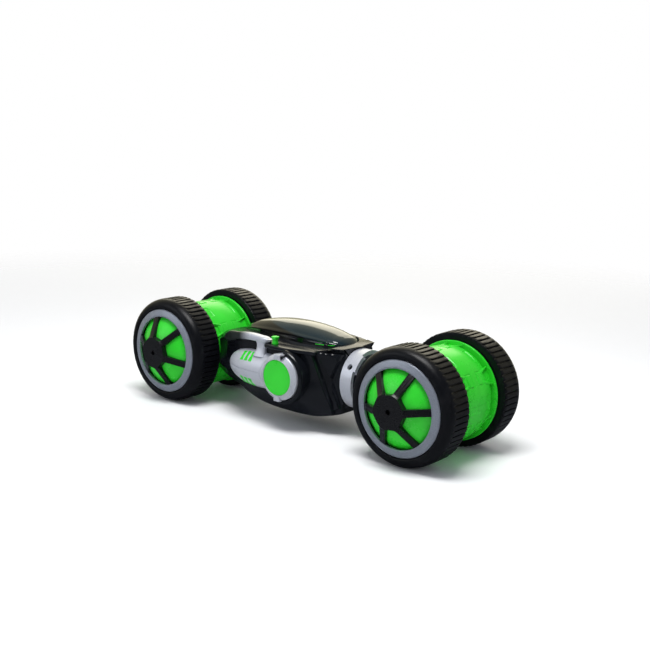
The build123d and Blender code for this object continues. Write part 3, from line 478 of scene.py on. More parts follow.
def make_tyre(end, side_name):
    """Ribbed tyre: a section turned about the axle, its tread lowered by depth * (1 - rib height) * fade.

    The shoulder is the superellipse r = bead + a cos(t)^0.9, w = start + b sin(t)^0.9; fade falls from 1
    on the tread to 0 on the shoulder, and to a third at the tread's inner edge.
    """
    turn = np.linspace(0, PI / 2, 15)
    bend = 0.9
    shoulder = np.stack([BEAD_R + (TYRE_R - BEAD_R) * np.abs(np.cos(turn)) ** bend,
                         TREAD_END + (TYRE_W - TREAD_END) * np.sin(turn) ** bend], -1)
    inner = [(RIM_R + 0.05, 0.6), (RIM_R + 0.8, 0.1), (TYRE_R - 6, 0.0), (TYRE_R - 2.2, 0.1),
             (TYRE_R - 0.4, 0.5)]
    tread = [(TYRE_R, 1.1), (TYRE_R, 5.0), (TYRE_R, 12.0), (TYRE_R, 17.0)]
    bead = [(BEAD_R - 0.9, TYRE_W - 0.15), (BEAD_R - 1.6, TYRE_W - 0.9), (RING_R + 0.35, TYRE_W - 1.9),
            (RIM_R + 0.05, TYRE_W - 2.1)]
    profile = np.concatenate([inner, tread, shoulder, bead])
    on_tread = (profile[:, 0] > TYRE_R - 3.0) & (profile[:, 1] > 0.4)
    fade = on_tread * (1 - smooth_step(TREAD_END - 0.5, TREAD_END + 4.5, profile[:, 1]))
    fade = fade * (0.35 + 0.65 * smooth_step(0.6, 3.0, profile[:, 1]))
    angle, height = rib_turns()
    radius = profile[None, :, 0] - TREAD_DEPTH * (1 - height[:, None]) * fade[None]
    outward = TYRE_IN + profile[None, :, 1] + 0 * radius
    points = about_axle(AXLE_X[end], SIDE[side_name], radius, angle[:, None] + 0 * radius, outward)
    wheel = f"{end}_{side_name}"
    piece(f"{wheel}_ribbed_tyre", [surface(points, wrap_rows=True, wrap_columns=True)], f"{wheel}_wheel",
          finish("tyre_rubber"), (f"{wheel}_tyre",), sharp=38.0)


def make_ring_and_dome(end, side_name):
    """Silver trim ring, proud at its inner lip, and green dome, both turned.

    The dome is a cap of a sphere R: out = sqrt(R^2 - r^2) - R + its top, with a second skin a wall inside.
    """
    wheel, side = f"{end}_{side_name}", SIDE[side_name]
    section = soften([(RECESS_R, RING_BASE), (RING_R, RING_BASE), (RING_R, RING_LIP - 2.6),
                      (RING_R - 1.0, RING_LIP - 1.6), (RECESS_R + 1.4, RING_LIP),
                      (RECESS_R, RING_LIP - 0.4)], [0.1, 0.1, 0.4, 0.6, 0.6, 0.3], 5)
    ring = surface(lathe_about_axle(AXLE_X[end], side, section + [0, TYRE_IN]), True, True)
    piece(f"{wheel}_silver_ring", [ring], f"{wheel}_wheel", finish("silver_ring"),
          (f"{wheel}_trim_ring",), sharp=50.0)
    hole, edge = HUB_BOSS_R + 0.1, corners(f"{wheel}_dome")[1][2] - AXLE_UP
    radius = np.linspace(hole, edge, 18)
    outer = np.sqrt(DOME_SPHERE ** 2 - radius ** 2) - DOME_SPHERE + HUB_FACE - HUB_STAND
    inner = np.sqrt((DOME_SPHERE - DOME_WALL) ** 2 - radius ** 2) - DOME_SPHERE + HUB_FACE - HUB_STAND
    section = np.concatenate([np.stack([radius, outer], -1), np.stack([radius, inner], -1)[::-1]])
    dome = surface(lathe_about_axle(AXLE_X[end], side, section + [0, TYRE_IN]), True, True)
    piece(f"{wheel}_green_dome", [dome], f"{wheel}_wheel", finish("bright_green"), (f"{wheel}_dome",),
          sharp=40.0)


for end in AXLE_X:
    for side_name in SIDE:
        make_tyre(end, side_name)
        make_ring_and_dome(end, side_name)
        wheel = f"{end}_{side_name}"
        from_cad(f"{wheel}_rim", f"{wheel}_spoked_rim", finish("black_plastic"), sharp=24.0, bevel=0.45)


# ---------------------------------------------------------------- drums between the wheels
CROWN = 1.0
BARREL_R = DRUM_R - 3.0
GROOVE_R = DRUM_R - 7.5
FLANGE_IN = DRUM_HALF - 2.5
GROOVE_IN = FLANGE_IN - 5.0
BRACKETS = 6
WALL = 2.5
RIB_R = BARREL_R + 1.2       # the brackets' ribs stand this far out
FLOOR_R = BARREL_R - 1.4     # and the floor between them this far in
SCORE = 0.4                  # depth of a panel's scored frame
PANEL_RISE = 0.3
PANEL_SINK = 0.5
SPLIT_GAP = 0.0012           # half the gap between a drum's halves, radians


def drum_relief(angle, out):
    """Barrel radius at an angle and a distance from the centre plane.

    The crowned barrel is BARREL_R + CROWN (1 - (out / GROOVE_IN)^2), the groove is flat, and at each
    bracket two ribs converge inwards across the groove with a sunk floor between them. A scored frame
    marks the raised panel beside each bracket, and a sunk panel lies halfway to the next.
    """
    step = 2 * PI / BRACKETS
    off = (angle + step) % step - step / 2
    arc = np.abs(off) * BARREL_R
    barrel = BARREL_R + CROWN * (1 - np.minimum(out / GROOVE_IN, 1) ** 2)
    ground = barrel - (BARREL_R - GROOVE_R) * smooth_step(GROOVE_IN, GROOVE_IN + 0.5, out)
    rib_at = 4.6 + 3.6 * (out - 13) / (FLANGE_IN - 13)
    on_rib = smooth_step(0, 0.9, 1.35 - np.abs(arc - rib_at)) * smooth_step(12.0, 14.5, out)
    floor = smooth_step(0, 0.8, rib_at - 0.9 - arc) * smooth_step(16.2, 17.2, out)
    ground = ground + (FLOOR_R - ground) * floor
    ground = ground + (RIB_R - ground) * on_rib
    panel = np.maximum(np.abs(out - 8.0) - 3.6, arc - 6.0)
    scored = smooth_step(0, 0.7, 0.8 - np.abs(panel))
    raised = smooth_step(0, 0.8, -panel) * PANEL_RISE
    between = np.abs(np.abs(off) - step / 2) * BARREL_R
    far_panel = np.maximum(np.abs(out - 15.5) - 2.6, between - 7.5)
    sunk = smooth_step(0, 0.8, -far_panel) * PANEL_SINK
    return ground - SCORE * scored + raised - sunk


def make_drum_half(end, half, start):
    """Half of a drum as a closed wall: outer relief, rounded flanges and plain cavity, over half a turn."""
    out = np.concatenate([np.linspace(0, GROOVE_IN, 64),
                          np.linspace(GROOVE_IN + 0.25, FLANGE_IN - 0.1, 20)])
    out = np.concatenate([-out[:0:-1], out])
    half_turn = start + np.linspace(SPLIT_GAP, PI - SPLIT_GAP, 420)
    relief = drum_relief(half_turn[:, None], np.abs(out)[None])
    lip = soften([(GROOVE_R, FLANGE_IN), (DRUM_R, FLANGE_IN), (DRUM_R, DRUM_HALF),
                  (BARREL_R - WALL - 4, DRUM_HALF), (BARREL_R - WALL - 4, FLANGE_IN)],
                 [0, 0.7, 0.7, 0.3, 0.3], 5, closed=False)
    hollow = [(GROOVE_R - WALL, FLANGE_IN), (GROOVE_R - WALL, GROOVE_IN - WALL),
              (BARREL_R - WALL, GROOVE_IN - WALL)]
    rest = np.concatenate([lip, hollow])
    rest = np.concatenate([rest, rest[::-1] * [1, -1]])
    plain = np.broadcast_to(rest[None, :, 0], (len(half_turn), len(rest)))
    radius = np.concatenate([relief, plain], 1)
    outward = np.concatenate([out, rest[:, 1]])
    angle = half_turn[:, None] + 0 * radius
    points = about_axle(AXLE_X[end], 1, radius, angle, outward[None] + 0 * radius)
    body = "front_axle" if end == "front" else "root"
    piece(f"{end}_drum_{half}_cover", [surface(points, wrap_columns=True, cap_rows=True)], body,
          finish("bright_green"), (f"{end}_drum_{half}",), sharp=30.0)


for end in AXLE_X:
    make_drum_half(end, "upper", 0.0)
    make_drum_half(end, "lower", PI)


# ---------------------------------------------------------------- body shells
def flow(x, stations, values):
    """Smooth curve through values at stations: cubic Hermite spans with the slopes of their neighbours."""
    stations, values = np.asarray(stations, float), np.asarray(values, float)
    slopes = np.gradient(values, stations)
    k = np.clip(np.searchsorted(stations, x) - 1, 0, len(stations) - 2)
    span = stations[k + 1] - stations[k]
    t = np.clip((x - stations[k]) / span, 0, 1)
    return ((1 + 2 * t) * (1 - t) ** 2 * values[k] + t * (1 - t) ** 2 * span * slopes[k]
            + t * t * (3 - 2 * t) * values[k + 1] + t * t * (t - 1) * span * slopes[k + 1])


BODY_WALL = 2.2
NECK_HOLE_R = 15.6
NECK_WALL = 4.8
DRUM_CLEAR = DRUM_R - 1.4
CHANNEL_DEEP = 4.6
CHANNEL_PANEL = 3.2          # the channel's panels stand this far out of it
SIDE_BULGE = 5.0             # below the seam
SEAM_GAP = 0.06              # half the gap between the shells
# The body's outline: places along it as a share of its length, and what is there, mm from its axis
SHARE = [0.0, 0.05, 0.10, 0.18, 0.26, 0.35, 0.48, 0.61, 0.73, 0.84, 0.91, 0.97, 1.0]
DECK_MID = [21, 24.6, 26, 27, 28, 28.5, 29, 29.5, 30, 30.5, 31, 31.3, 31.4]
DECK_EDGE_OUT = [21, 25, 30, 35, 38, 40, 41.5, 42, 42, 39, 34, 28.5, 26.5]
DECK_EDGE_UP = [15, 21, 25.5, 29.5, 31.5, 32, 29, 27, 27.3, 28.5, 30, 31, 31.3]
SEAM_OUT = [22, 28, 33, 37, 39, 41, 43, 44, 43.5, 39, 34, 28.8, 27]
BELLY_OUT = [19, 24, 27, 29, 31, 32, 33, 34, 34, 33.5, 32, 30, 29]
BELLY_DOWN = [19, 21.5, 23.5, 27.5, 32.7, 37.2, 39.6, 39.8, 39.6, 38.2, 36.0, 33.6, 32]
FACET = (68.9, 0.66, 0.128)        # the front corner's plane: out = a - b x - c up
CREASE_TOP = (33.5, 28.0)          # crease at the end of the side panel: x and height
CREASE_FOOT = (54.0, -29.0)
SHIELD = ((36.5, 28.0), (61.0, 27.0), (51.5, 0.5))
FOOT = ((54.5, -29.0), (61.5, -27.0), (51.5, -0.5))


def half_plane(x, up, first, second):
    """Distance of each point from a line through two points, positive on its left."""
    along = np.array(second) - np.array(first)
    along = along / np.hypot(*along)
    return along[0] * (up - first[1]) - along[1] * (x - first[0])


def inside_triangle(x, up, corners_of):
    """1 well inside a triangle, 0 outside, with a short slope between."""
    a, b, c = corners_of
    turn = np.sign(half_plane(c[0], c[1], a, b))
    edges = [turn * half_plane(x, up, a, b), turn * half_plane(x, up, b, c), turn * half_plane(x, up, c, a)]
    return smooth_step(-0.4, 1.3, np.minimum.reduce(edges))


def side_inset(x, up):
    """How far the side steps in: a deep channel ahead of the crease, with a panel each side of the seam."""
    ahead = -half_plane(x, up, CREASE_FOOT, CREASE_TOP)
    channel = smooth_step(0.0, 1.2, ahead)
    panels = np.maximum(inside_triangle(x, up, SHIELD), inside_triangle(x, up, FOOT))
    return channel * (CHANNEL_DEEP - CHANNEL_PANEL * panels)


def shell_section(x, upper):
    """Outer section of a shell at each x, from the left seam over to the right seam.

    The deck runs from its middle height to its edge as t^3, a quadratic curve turns the edge, and the side
    is straight down to the seam; below the seam the side bulges by sin(fall)^1.2 as it goes down to the
    rounded belly edge. The front corner's plane and the side's channel cut into what is left.
    """
    share = (x - BODY_REAR) / (BODY_FRONT - BODY_REAR)
    seam = flow(share, SHARE, SEAM_OUT)
    if upper:
        tables, radius, power = (DECK_MID, DECK_EDGE_UP, DECK_EDGE_OUT), 2.2, 3.0
    else:
        tables, radius, power = (BELLY_DOWN, BELLY_DOWN, BELLY_OUT), 4.5, 1.0
    middle_up, edge_up, edge_out = (flow(share, SHARE, table) for table in tables)
    facet = FACET[0] - FACET[1] * x
    t = np.linspace(0, 1, 14)
    flat_out = (edge_out - radius)[:, None] * t
    flat_up = middle_up[:, None] + (edge_up - middle_up)[:, None] * t ** power
    fall = np.linspace(0, 1, 34)
    start_up = edge_up - radius
    side_up = start_up[:, None] * (1 - fall)
    bulge = 0.0 if upper else SIDE_BULGE
    side_top = edge_out + (seam - edge_out) * radius / edge_up
    side_out = side_top[:, None] * (1 - fall) + seam[:, None] * fall
    side_out = side_out + bulge * np.sin(PI * fall) ** 1.2 * smooth_step(0, 0.25, 1 - share)[:, None]
    up_sign = 1 if upper else -1
    limit = facet[:, None] - FACET[2] * up_sign * side_up
    side_out = np.minimum(side_out, limit)
    side_out = side_out - side_inset(x[:, None], up_sign * side_up)
    t = np.linspace(0, 1, 7)[1:-1]
    first = np.stack([flat_out[:, -1], flat_up[:, -1]], -1)
    last = np.stack([side_out[:, 0], side_up[:, 0]], -1)
    corner = np.stack([np.minimum(edge_out, side_out[:, 0] + 0.4), edge_up], -1)
    t = t[None, :, None]
    curve = (1 - t) ** 2 * first[:, None] + 2 * t * (1 - t) * corner[:, None] + t ** 2 * last[:, None]
    half = np.concatenate([np.stack([flat_out, flat_up], -1), curve, np.stack([side_out, side_up], -1)], 1)
    half[..., 1] *= up_sign
    return np.concatenate([half[:, ::-1], half[:, 1:] * [-1, 1]], 1)


def make_shell(name, node, upper):
    """One body shell: outer skin, a half-round neck hole through the front wall, and the inner skin.

    The inner skin is the outer one moved in by the wall. The rear end is drawn onto the drum's cylinder, by
    the distance to it times (1 - share)^7, with share the part of the body's length passed.
    """
    share = np.concatenate([np.linspace(0, 0.8, 90), np.linspace(0.804, 1, 64)])
    x = BODY_REAR + (BODY_FRONT - BODY_REAR) * share
    section = shell_section(x, upper)
    columns = section.shape[1]
    outer = np.concatenate([x[:, None, None] + 0 * section[..., :1], section], -1)
    shrink = np.sign(section) * np.minimum(np.abs(section), BODY_WALL * np.minimum(1, np.abs(section) / 6))
    inner = outer.copy()
    inner[..., 1:] = section - shrink
    inner_x = np.minimum(x, BODY_FRONT - NECK_WALL)
    inner[..., 0] = inner_x[:, None]
    for skin in (outer, inner):
        reach = np.sqrt(DRUM_CLEAR ** 2 - np.minimum(np.abs(skin[..., 2]), 30) ** 2)
        skin[..., 0] += (AXLE_X["rear"] + reach - BODY_REAR) * (1 - share)[:, None] ** 7
    way = np.linspace(0, PI, columns) * (1 if upper else -1)
    hole = about_length(NECK_HOLE_R, way, BODY_FRONT) - [0, 0, AXLE_UP]
    rows = [outer, hole[None], (hole - [NECK_WALL, 0, 0])[None], inner[::-1]]
    points = np.concatenate(rows) + [0, 0, AXLE_UP]
    points[..., 2] += SEAM_GAP if upper else -SEAM_GAP
    piece(name, [surface(points, wrap_rows=True, cap_columns=True)], "root", finish("gloss_black"), (node,),
          sharp=24.0)


make_shell("upper_body_shell", "upper_shell", True)
make_shell("lower_body_shell", "lower_shell", False)


def lay_flat(height):
    """Places a plate's outline (x, out) flat, with its underside at a height above the axles."""
    return lambda u, v, h: np.stack([u, v, AXLE_UP + height + h], -1)


def stand_up(out, side):
    """Places a plate's outline (x, up) upright, its thickness going outwards from a distance out."""
    return lambda u, v, h: np.stack([u, side * (out + h), AXLE_UP + v], -1)


NOSE_PLATE_UP = 30.2
LEDGE_UP = 24.5
FIN_OUT = 23.2


def make_deck_trim():
    """Nose plate, side ledges with rounded ends, and a small fin, all plates with rounded edges."""
    nose = soften([(BODY_FRONT - 12, 29.0), (BODY_FRONT - 1, 24.5), (NOSE_TIP - 1.5, 4.0), (NOSE_TIP, 0),
                   (NOSE_TIP - 1.5, -4.0), (BODY_FRONT - 1, -24.5), (BODY_FRONT - 12, -29.0)],
                  [1, 3, 3, 2, 3, 3, 1], 5)
    patches = [plate(nose, 1.5, lay_flat(NOSE_PLATE_UP), 0.5)]
    for side in (1, -1):
        ledge = soften([(-21.0, 38.0), (-21.0, 48.0), (-13.0, 49.6), (14.0, 49.2), (39.5, 41.0),
                        (39.5, 34.0), (-19.0, 34.0)], [3, 6, 10, 10, 2, 1, 2], 7) * [1, side]
        patches.append(plate(ledge, 3.8, lay_flat(LEDGE_UP), 1.2, 6))
        fin = soften([(35.0, 29.5), (43.0, 29.5), (41.5, 33.2), (39.0, 33.8)], [0.4, 0.4, 0.8, 0.8], 4)
        patches.append(plate(fin, 1.6, stand_up(FIN_OUT, side), 0.4))
    piece("deck_trim", patches, "root", finish("gloss_black"), sharp=38.0)


make_deck_trim()


# ---------------------------------------------------------------- canopy
CANOPY_X = [-91.0, -80.0, -68.0, -54.0, -36.0, -15.0, 1.0, 14.0, 27.0, 38.0, 44.0, 48.0, 50.5, 51.5]
CANOPY_TOP = [27.0, 33.5, 38.5, 42.0, 45.0, 46.3, 46.0, 44.8, 42.8, 40.0, 38.0, 35.8, 33.0, 31.3]
CANOPY_OUT = [1.0, 6.5, 11.0, 15.5, 19.5, 22.6, 23.4, 23.4, 22.3, 20.5, 18.0, 14.0, 8.0, 1.5]
CANOPY_BASE = [25.5, 26.5, 27.0, 27.6, 28.0, 28.5, 29.0, 29.4, 29.8, 30.2, 30.4, 30.6, 30.8, 30.9]
CANOPY_WALL = 1.5
# x over which the canopy's foot carries its painted green glint
GLINT_SPAN = (25.0, 46.0)


def make_canopy():
    """Smoked canopy: at each x a flattened arch, out = w cos(a)^0.82 and up = base + h sin(a)^0.95.

    A crease, a bell curve of the height, runs along each flank; a second skin lies a wall inside. A thin oval
    green bead along each foot, over part of its length, is a painted reflection standing in for green glints.
    """
    x = np.concatenate([np.linspace(CANOPY_X[0], 30, 110), np.linspace(30.6, CANOPY_X[-1], 40)])
    top, out, base = (flow(x, CANOPY_X, v) for v in (CANOPY_TOP, CANOPY_OUT, CANOPY_BASE))
    a = np.linspace(0, PI, 65)
    lean = np.abs(np.cos(a)) ** 0.82 * np.sign(np.cos(a))
    rise = np.abs(np.sin(a)) ** 0.95
    crease = 0.07 * np.exp(-((rise - 0.42) / 0.07) ** 2)
    skins = []
    for thin in (0.0, CANOPY_WALL):
        width = np.maximum(out - thin, 0.3)[:, None] * lean * (1 + crease)
        height = base[:, None] + np.maximum(top - base - thin, 0.2)[:, None] * rise
        skins.append(np.stack([x[:, None] + 0 * width, width, AXLE_UP + height], -1))
    points = np.concatenate([skins[0], skins[1][:, ::-1]], 1)
    piece("smoked_canopy_cover", [surface(points, wrap_columns=True, cap_rows=True)], "root",
          finish("smoked_canopy"), ("canopy",), sharp=34.0)
    # painted reflection: a thin green bead along each foot of the canopy stands in for green glints
    t = np.linspace(0, 2 * PI, 8, endpoint=False)
    patches = []
    for side in (1, -1):
        keep = (x > GLINT_SPAN[0]) & (x < GLINT_SPAN[1])
        spine = np.stack([x, side * (out + 0.5), AXLE_UP + base + 1.5], -1)[keep]
        ring = np.stack([0 * t, 0.3 * np.cos(t), 0.35 * np.sin(t)], -1)
        patches.append(surface(spine[:, None] + ring[None], wrap_columns=True, cap_rows=True))
    piece("canopy_painted_green_glint", patches, "root", finish("bright_green"))


make_canopy()


# ---------------------------------------------------------------- side pods
POD_AXIS = 33.0
NACELLE_R = 20.7
NACELLE_DROP = 1.0
NACELLE_TIP = corners("left_pod")[0][0] - 2.8
NACELLE_FULL = -30.0
TURBINE_R = 22.8
BOSS_REACH = (math.radians(-100), math.radians(80))
BOSS_RADII = (24.2, 27.5)
SEAM_WIDTH = 0.35
SCORE_DEEP = 0.55


def make_nacelle(side):
    """Nacelle: r = R (1 - t^2.2)^0.5 towards its nose and plain ahead of it, scored at the seam and round
    the turbine, with t the share of the way from its full width to its tip.
    """
    t = np.linspace(0, 1, 60)
    x = np.concatenate([NACELLE_FULL + (NACELLE_TIP - NACELLE_FULL) * np.sin(t * PI / 2)[::-1],
                        np.linspace(NACELLE_FULL + 0.5, TURBINE_X + 4, 90)])
    nose = np.clip((NACELLE_FULL - x) / (NACELLE_FULL - NACELLE_TIP), 0, 1)
    radius = NACELLE_R * np.sqrt(np.maximum(1 - nose ** 2.2, 1e-5))
    near = np.array([-1.0, -0.5, -0.3, 0.0, 0.3, 0.5, 1.0]) * SEAM_WIDTH / NACELLE_R
    half = np.linspace(0.035, PI - 0.035, 110)
    a = np.concatenate([near, half, PI + near, PI + half])
    radius = radius[:, None] + 0 * a[None]
    up, along = radius * np.sin(a), x[:, None] + 0 * a[None]
    round_turbine = np.abs(np.hypot(along - TURBINE_X, up) - TURBINE_R - 3.2)
    at_seam = smooth_step(0, SEAM_WIDTH, SEAM_WIDTH - np.abs(up)) * (np.abs(np.sin(a)) < 0.1)
    scored = np.maximum(at_seam, smooth_step(0, 0.5, 0.8 - round_turbine))
    radius = radius - SCORE_DEEP * scored * smooth_step(0.0, 4.0, along - NACELLE_TIP)
    height = AXLE_UP - NACELLE_DROP + radius * np.sin(a)
    points = np.stack([along, side * (POD_AXIS + radius * np.cos(a)), height], -1)
    return surface(points, wrap_columns=True, cap_rows=True)


TAB_FOOT = 17.9
SLOTS_X = middle("pod_slots")[0] + 1.2
SLOT_PITCH = 6.2
SLOT_SIZE = (4.5, 11.5)
SLOT_LEAN = 0.6
SLOT_TURN = math.radians(41.0)


def make_slots():
    """Slanted pads that follow the nacelles: each outline drawn on the skin, leaning with its distance round.

    A pad's point is x = start + across + lean * arc / length at the angle slant + arc / R. Its rows go up
    from inside the skin, round the edge, and in to the middle.
    """
    width, length = SLOT_SIZE
    outline = soften([(-width / 2, -length / 2), (width / 2, -length / 2), (width / 2, length / 2),
                      (-width / 2, length / 2)], 0.8, 4)
    share = np.array([1.0, 1.0, 0.985, 0.94, 0.5, 0.02])[:, None]
    lift = np.array([-1.0, 0.1, 0.28, 0.35, 0.35, 0.35])[:, None]
    patches = []
    for side in SIDE.values():
        for above in (1, -1):
            for step in (-1, 0, 1):
                across, arc = share * outline[:, 0], share * outline[:, 1]
                x = SLOTS_X + step * SLOT_PITCH + across + SLOT_LEAN * arc / length
                nose = np.clip((NACELLE_FULL - x) / (NACELLE_FULL - NACELLE_TIP), 0, 1)
                radius = NACELLE_R * np.sqrt(1 - nose ** 2.2) + lift
                turn = above * (SLOT_TURN + arc / NACELLE_R)
                points = np.stack([x, side * (POD_AXIS + radius * np.cos(turn)),
                                   AXLE_UP - NACELLE_DROP + radius * np.sin(turn)], -1)
                patches.append(surface(points, wrap_columns=True, cap_rows=True))
    piece("pod_slot_inserts", patches, "root", finish("bright_green"), ("pod_slots",), sharp=50.0)


def make_turbine(side):
    """Turbine barrel across the pod: a turned section with a wide front bevel and a seat for the cap."""
    section = soften([(0.0, POD_AXIS - 8), (TURBINE_R, POD_AXIS - 8), (TURBINE_R, TURBINE_FACE - 3.6),
                      (TURBINE_R - 4.6, TURBINE_FACE), (CAP_R + 0.35, TURBINE_FACE),
                      (CAP_R + 0.35, TURBINE_FACE - 2.2), (0.0, TURBINE_FACE - 2.2)],
                     [0, 0.5, 0.7, 0.5, 0.25, 0.2, 0], 5, closed=False)
    return surface(lathe_about_axle(TURBINE_X, side, section), wrap_rows=True)


def make_tabs(side):
    """Two square tabs over the turbine's bevel, one on top and one at its foot."""
    tabs = []
    for sign, width, reach, thickness in ((1, 4.2, 23.2, 5.2), (-1, 3.75, 23.8, 4.8)):
        foot, tip = sign * TAB_FOOT, sign * reach
        outline = soften([(-width, foot), (width, foot), (width, tip), (-width, tip)], 0.6, 4)
        tabs.append(plate(outline + [TURBINE_X, 0], thickness, stand_up(TURBINE_FACE - 5.0, side), 0.5))
    return tabs


for side_name, side in SIDE.items():
    piece(f"{side_name}_pod_cover", [make_nacelle(side), make_turbine(side), *make_tabs(side)], "root",
          finish("silver_paint"), (f"{side_name}_pod",), sharp=28.0)
    boss = soften([(BOSS_RADII[0], 30.0), (BOSS_RADII[1], 30.0), (BOSS_RADII[1], 51.5),
                   (BOSS_RADII[1] - 1.4, 53.5), (BOSS_RADII[0], 53.5)], [0.2, 0.2, 0.9, 0.9, 0.2], 4)
    sweep = np.linspace(*BOSS_REACH, 90)[:, None] + 0 * boss[None, :, 0]
    arch = about_axle(TURBINE_X, side, boss[None, :, 0] + 0 * sweep, sweep, boss[None, :, 1] + 0 * sweep)
    nick = soften([(5.2, 18.4), (8.4, 23.2), (4.9, 22.2)], 0.3, 3) + [TURBINE_X, 0]
    patches = [surface(arch, wrap_columns=True, cap_rows=True),
               plate(nick, 5.4, stand_up(TURBINE_FACE - 5.2, side), 0.15)]
    piece(f"{side_name}_turbine_boss", patches, "root", finish("gloss_black"), sharp=38.0)


def make_caps():
    """Green discs on the turbines: a turned section, slightly crowned, with a fine step and a rounded rim."""
    patches = []
    for side in SIDE.values():
        section = soften([(0.0, TURBINE_FACE - 0.05), (CAP_R - 1.4, TURBINE_FACE - 0.35),
                          (CAP_R - 1.0, TURBINE_FACE - 0.15), (CAP_R, TURBINE_FACE - 0.3),
                          (CAP_R, TURBINE_FACE - 3.0), (0.0, TURBINE_FACE - 3.0)],
                         [0, 0.3, 0.3, 0.3, 0.2, 0], 4, closed=False)
        patches.append(surface(lathe_about_axle(TURBINE_X, side, section), wrap_rows=True))
    piece("turbine_discs", patches, "root", finish("bright_green"), ("pod_caps",), sharp=30.0)


make_caps()
make_slots()


# ---------------------------------------------------------------- side rails, pylons and peg
PYLON_FOOT = 14.0            # above the axles
PYLON_TALL = 18.0
PEG_RISE = 1.0               # the peg's head above its CAD box
PEG_SHIFT = 1.3              # and its place ahead of that box's middle


def make_side_rail(side_name):
    """Silver rail swept along the shoulder, its rear end darkened by painted shade, and the pylon that
    carries it, narrow at the waist.

    Both are stacked superellipses, wide cos(a)^0.55 by tall sin(a)^0.55, the rail's along its path and the
    pylon's upwards.
    """
    side = SIDE[side_name]
    s = np.linspace(0, 1, 60)
    x = flow(s, [0, 0.3, 0.55, 0.8, 1], [-84.9, -66, -48, -30, -15.5])
    up = flow(s, [0, 0.3, 0.55, 0.8, 1], [23.2, 28.0, 30.6, 31.0, 30.2])
    out = flow(s, [0, 0.3, 0.55, 0.8, 1], [37.0, 40.0, 41.4, 42.0, 42.0])
    tall = flow(s, [0, 0.03, 0.4, 0.8, 0.94, 1], [2.2, 3.3, 3.8, 3.1, 2.4, 0.6])
    wide = flow(s, [0, 0.12, 0.4, 0.8, 0.94, 1], [1.2, 2.2, 2.8, 4.4, 4.0, 0.8])
    a = np.linspace(0, 2 * PI, 40, endpoint=False)
    bend = 0.55
    turn = np.stack([np.cos(a), np.sin(a)], -1)
    oval = np.sign(turn) * np.abs(turn) ** bend
    rail = np.stack([x[:, None] + 0 * a, side * (out[:, None] + wide[:, None] * oval[:, 0]),
                     AXLE_UP + up[:, None] + tall[:, None] * oval[:, 1]], -1)
    h = np.linspace(0, 1, 40)
    height = PYLON_FOOT + PYLON_TALL * h
    centre_x = flow(h, [0, 0.35, 0.7, 1], [-27.9, -27.4, -27.1, -27.0])
    long = flow(h, [0, 0.25, 0.5, 0.75, 1], [8.0, 6.0, 5.6, 6.8, 13.0])
    thick = flow(h, [0, 0.25, 0.5, 0.75, 1], [8.0, 5.4, 4.0, 4.0, 4.4])
    post_out = flow(h, [0, 0.5, 1], [41.5, 42.0, 42.0])
    post = np.stack([centre_x[:, None] + long[:, None] * oval[:, 0],
                     side * (post_out[:, None] + thick[:, None] * oval[:, 1]),
                     AXLE_UP + height[:, None] + 0 * a], -1)
    patches = [surface(part, wrap_columns=True, cap_rows=True) for part in (rail, post)]
    # the rail's finish carries painted shade at its rear end
    piece(f"{side_name}_rail_and_pylon", patches, "root", finish("silver_with_painted_shade"),
          (f"{side_name}_side_rail",), sharp=40.0)


def make_peg():
    """Green peg on the right ledge: rounded squares, cos(a)^0.45 by sin(a)^0.45, stacked upwards."""
    low, high = corners("peg")
    a = np.linspace(0, 2 * PI, 32, endpoint=False)
    turn = np.stack([np.cos(a), np.sin(a)], -1)
    square = np.sign(turn) * np.abs(turn) ** 0.45
    h = np.array([0, 0.04, 0.15, 0.35, 0.5, 0.62, 0.78, 0.9, 0.97, 1.0, 1.0])
    size = np.array([2.6, 2.8, 2.7, 2.3, 2.2, 2.5, 3.1, 3.3, 3.2, 2.7, 0.0])
    up = low[2] + (high[2] + PEG_RISE - low[2]) * h[:, None] + 0 * a
    centre = middle("peg")
    points = np.stack([centre[0] + PEG_SHIFT + size[:, None] * square[:, 0],
                       centre[1] + size[:, None] * square[:, 1], up], -1)
    piece("green_peg", [surface(points, wrap_columns=True, cap_rows=True)], "root", finish("bright_green"),
          ("peg",), sharp=50.0)


for side_name in SIDE:
    make_side_rail(side_name)
make_peg()


# ---------------------------------------------------------------- neck
from_cad("neck_collar", "silver_neck_collar", finish("silver_paint"), bevel=0.4)


# ---------------------------------------------------------------- floor, light and camera
WARM_WALL = (-0.64, 0.768, 0.0)             # where the warm wall lies, as a direction
FLOOR_TO_GLOSS = (0.16, 0.17, 0.19, 1.0)    # the floor as reflections see it
FLOOR_SINK = 0.2                            # mm under the tyres


def make_floor():
    """A pale round floor that fades into the backdrop well away from the car."""
    angle = np.linspace(0, 2 * PI, 128, endpoint=False)
    radius = np.array([0.0, 300, 700, 1200, 2000, 3200])[:, None]
    points = np.stack([radius * np.cos(angle), radius * np.sin(angle), 0 * radius * angle - FLOOR_SINK], -1)
    faces = grid_faces(len(radius), len(angle), False, True).tolist()
    mesh = bpy.data.meshes.new("floor")
    mesh.from_pydata((points.reshape(-1, 3) * MM).tolist(), [], faces)
    floor = bpy.data.objects.new("floor", mesh)
    bpy.context.scene.collection.objects.link(floor)
    paper = Finish("pale_paper", "", Roughness=0.9, Specular_IOR_Level=0.1)
    place = paper.node("ShaderNodeVectorMath", {"operation": "LENGTH"}, {0: paper.place()}, output=1)
    fade = paper.between(0.5, 1.3, place)
    pale = paper.mix(paper.noise(300.0, 2.0), (0.93, 0.93, 0.93, 1), (0.95, 0.95, 0.95, 1))
    to_gloss = paper.node("ShaderNodeLightPath", output="Is Glossy Ray")
    paper.paint(Base_Color=paper.mix(to_gloss, pale, FLOOR_TO_GLOSS), Alpha=1 - fade)
    mesh.materials.append(paper.material)


